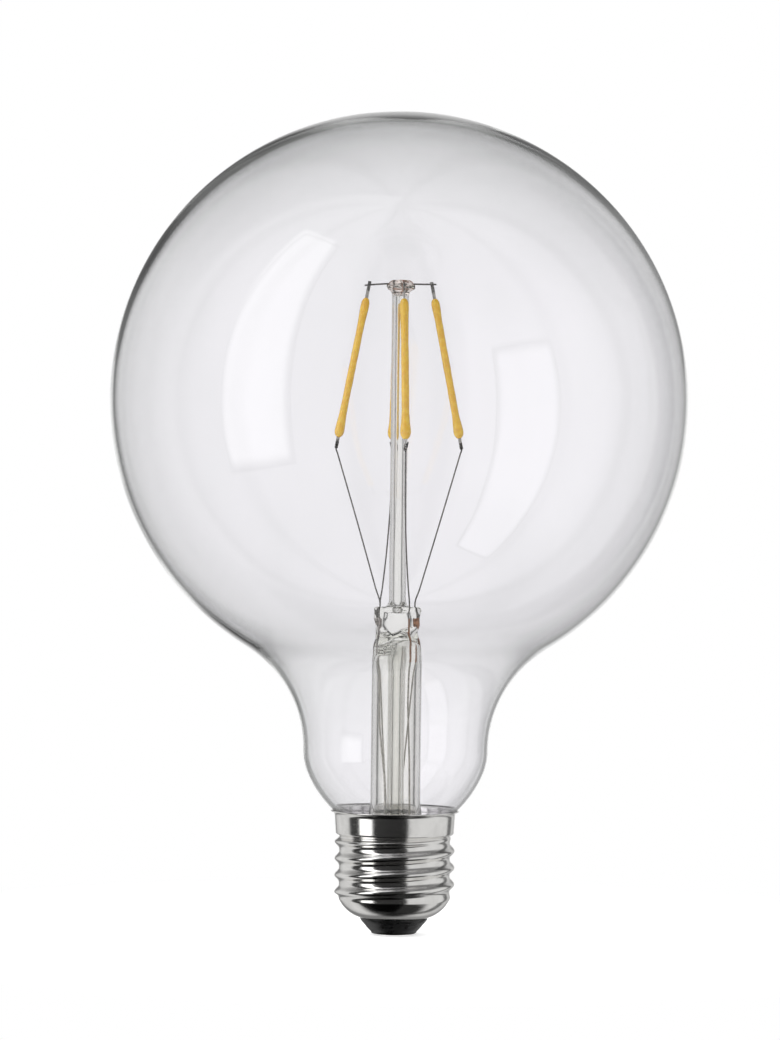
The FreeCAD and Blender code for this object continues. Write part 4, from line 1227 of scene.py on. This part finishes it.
def floor_material(stage):
    """Pale floor: near the bulb it keeps the shadow, and further out it is plain white to the eye."""
    material = bpy.data.materials.new("pale_floor")
    tree = new_tree(material)
    kinds = {
        "matt": "BsdfDiffuse", "lift": "Emission", "white": "Emission", "lit": "AddShader",
        "near": "MixShader", "seen": "MixShader", "output": "OutputMaterial",
    }
    node = {name: tree.nodes.new(f"ShaderNode{kind}") for name, kind in kinds.items()}
    node["matt"].inputs["Color"].default_value = (*stage.floor_colour, 1.0)
    node["lift"].inputs["Strength"].default_value = stage.floor_lift
    here = tree.nodes.new("ShaderNodeTexCoord").outputs["Object"]
    away = eased(tree, length(tree, here), stage.shadow_near, stage.shadow_far)
    camera_ray = tree.nodes.new("ShaderNodeLightPath").outputs["Is Camera Ray"]
    tree.links.new(away, node["near"].inputs["Fac"])
    tree.links.new(camera_ray, node["seen"].inputs["Fac"])
    for source, target, socket in (
        ("matt", "lit", 0), ("lift", "lit", 1), ("lit", "near", 1), ("white", "near", 2),
        ("matt", "seen", 1), ("near", "seen", 2), ("seen", "output", "Surface"),
    ):
        tree.links.new(node[source].outputs[0], node[target].inputs[socket])
    return material


def lamp_material(level):
    """Soft panel: a level that falls off towards the panel's four edges."""
    material = bpy.data.materials.new("soft_panel")
    tree = new_tree(material)
    output = tree.nodes.new("ShaderNodeOutputMaterial")
    glow = tree.nodes.new("ShaderNodeEmission")
    u, v, _ = axes(tree, tree.nodes.new("ShaderNodeTexCoord").outputs["UV"])
    edges = []
    for along, soft in ((u, 0.26), (v, 0.1)):
        centred = value_node(tree, "ABSOLUTE", value_node(tree, "SUBTRACT", along, 0.5))
        edges.append(eased(tree, centred, 0.5 - 0.5 * soft, 0.5, 1.0, 0.0))
    tree.links.new(product(tree, *edges, level), glow.inputs["Strength"])
    tree.links.new(glow.outputs["Emission"], output.inputs["Surface"])
    return material


def flat_sheet(name, centre, across, along, material, rows=9):
    """Flat stage sheet: its centre plus shares from -1 to 1 of two half edges, with its own UV."""
    steps = np.linspace(-1.0, 1.0, rows)
    u, v = (part.ravel() for part in np.meshgrid(steps, steps))
    places = np.asarray(centre) + u[:, None] * np.asarray(across) + v[:, None] * np.asarray(along)
    index = np.arange(rows * rows).reshape(rows, rows)
    cells = np.stack([index[:-1, :-1], index[:-1, 1:], index[1:, 1:], index[1:, :-1]], axis=-1)
    faces = cells.reshape(-1, 4)
    mesh = bpy.data.meshes.new(name)
    mesh.from_pydata(places, [], faces.tolist())
    layer = mesh.uv_layers.new(name="sheet")
    layer.uv.foreach_set("vector", 0.5 + 0.5 * np.column_stack([u, v])[faces.ravel()].ravel())
    mesh.materials.append(material)
    sheet = bpy.data.objects.new(name, mesh)
    bpy.context.scene.collection.objects.link(sheet)
    return sheet


def make_camera(stage):
    """Camera in front of the bulb, a little to its left, with a small roll."""
    view = bpy.data.cameras.new("camera")
    view.lens = stage.lens
    view.sensor_width = 36.0
    view.clip_start = 0.01
    camera = bpy.data.objects.new("camera", view)
    bpy.context.scene.collection.objects.link(camera)
    camera.location = (-stage.camera_left, -stage.camera_distance, stage.camera_height)
    line = Vector((-stage.camera_left, 0.0, stage.aim_height)) - camera.location
    camera.rotation_mode = "QUATERNION"
    roll = Quaternion((0.0, 0.0, 1.0), stage.camera_roll)
    camera.rotation_quaternion = line.to_track_quat("-Z", "Y") @ roll
    return camera


class BULB_OT_stage(bpy.types.Operator):
    """Makes the floor, the soft lamp, the surroundings and the camera"""

    bl_idname = "bulb.make_stage"
    bl_label = "Stage"

    def execute(self, context):
        scene = context.scene
        stage = scene.bulb_stage
        low, half = (0.0, 0.0, -stage.floor_drop), stage.floor_half
        floor = flat_sheet("floor", low, (half, 0.0, 0.0), (0.0, half, 0.0), floor_material(stage))
        floor.visible_glossy = False
        floor.visible_transmission = False
        x, y = ray(stage.lamp_turn)
        middle = stage.lamp_distance * np.array([-y, -x, 0.0]) + stage.lamp_middle * UP
        half_width = 0.5 * stage.lamp_width * np.array([x, -y, 0.0])
        half_height = 0.5 * stage.lamp_height * UP
        panel = flat_sheet("soft_panel", middle, half_width, half_height, lamp_material(stage.lamp_level))
        panel.visible_camera = False
        scene.world = studio_world()
        scene.camera = make_camera(stage)
        scene.view_settings.view_transform = "Standard"
        scene.cycles.max_bounces = GLASS_BOUNCES
        scene.cycles.transmission_bounces = GLASS_BOUNCES
        return {"FINISHED"}


class BULB_PT_panel(bpy.types.Panel):
    """Lists the bulb's settings and the operators that make it"""

    bl_idname = "BULB_PT_panel"
    bl_label = "Globe Bulb"
    bl_space_type = "VIEW_3D"
    bl_region_type = "UI"
    bl_category = "Bulb"

    def draw(self, context):
        for name in GROUPS:
            box = self.layout.box()
            settings = getattr(context.scene, name)
            for prop in settings.bl_rna.properties:
                if prop.identifier not in {"rna_type", "name"}:
                    box.prop(settings, prop.identifier)
        for operator in OPERATORS:
            self.layout.operator(operator.bl_idname)


GROUPS = {
    "bulb_glass": BulbGlassSettings,
    "bulb_stem": BulbStemSettings,
    "bulb_strips": BulbStripSettings,
    "bulb_cap": BulbCapSettings,
    "bulb_stage": BulbStageSettings,
}
OPERATORS = (
    BULB_OT_envelope, BULB_OT_stem, BULB_OT_strips, BULB_OT_wires, BULB_OT_cap, BULB_OT_driver, BULB_OT_stage,
)


def register():
    """Registers the settings, the operators and the panel."""
    for name, group in GROUPS.items():
        bpy.utils.register_class(group)
        setattr(bpy.types.Scene, name, bpy.props.PointerProperty(type=group))
    for operator in OPERATORS:
        bpy.utils.register_class(operator)
    bpy.utils.register_class(BULB_PT_panel)


def unregister():
    """Takes back what register did, in the opposite order."""
    bpy.utils.unregister_class(BULB_PT_panel)
    for operator in reversed(OPERATORS):
        bpy.utils.unregister_class(operator)
    for name, group in reversed(GROUPS.items()):
        delattr(bpy.types.Scene, name)
        bpy.utils.unregister_class(group)


def main():
    """Makes the bulb and its stage."""
    register()
    bpy.ops.bulb.make_envelope()
    bpy.ops.bulb.make_stem()
    bpy.ops.bulb.make_strips()
    bpy.ops.bulb.make_wires()
    bpy.ops.bulb.make_cap()
    bpy.ops.bulb.dress_driver()
    bpy.ops.bulb.make_stage()


if __name__ == "__main__":
    main()
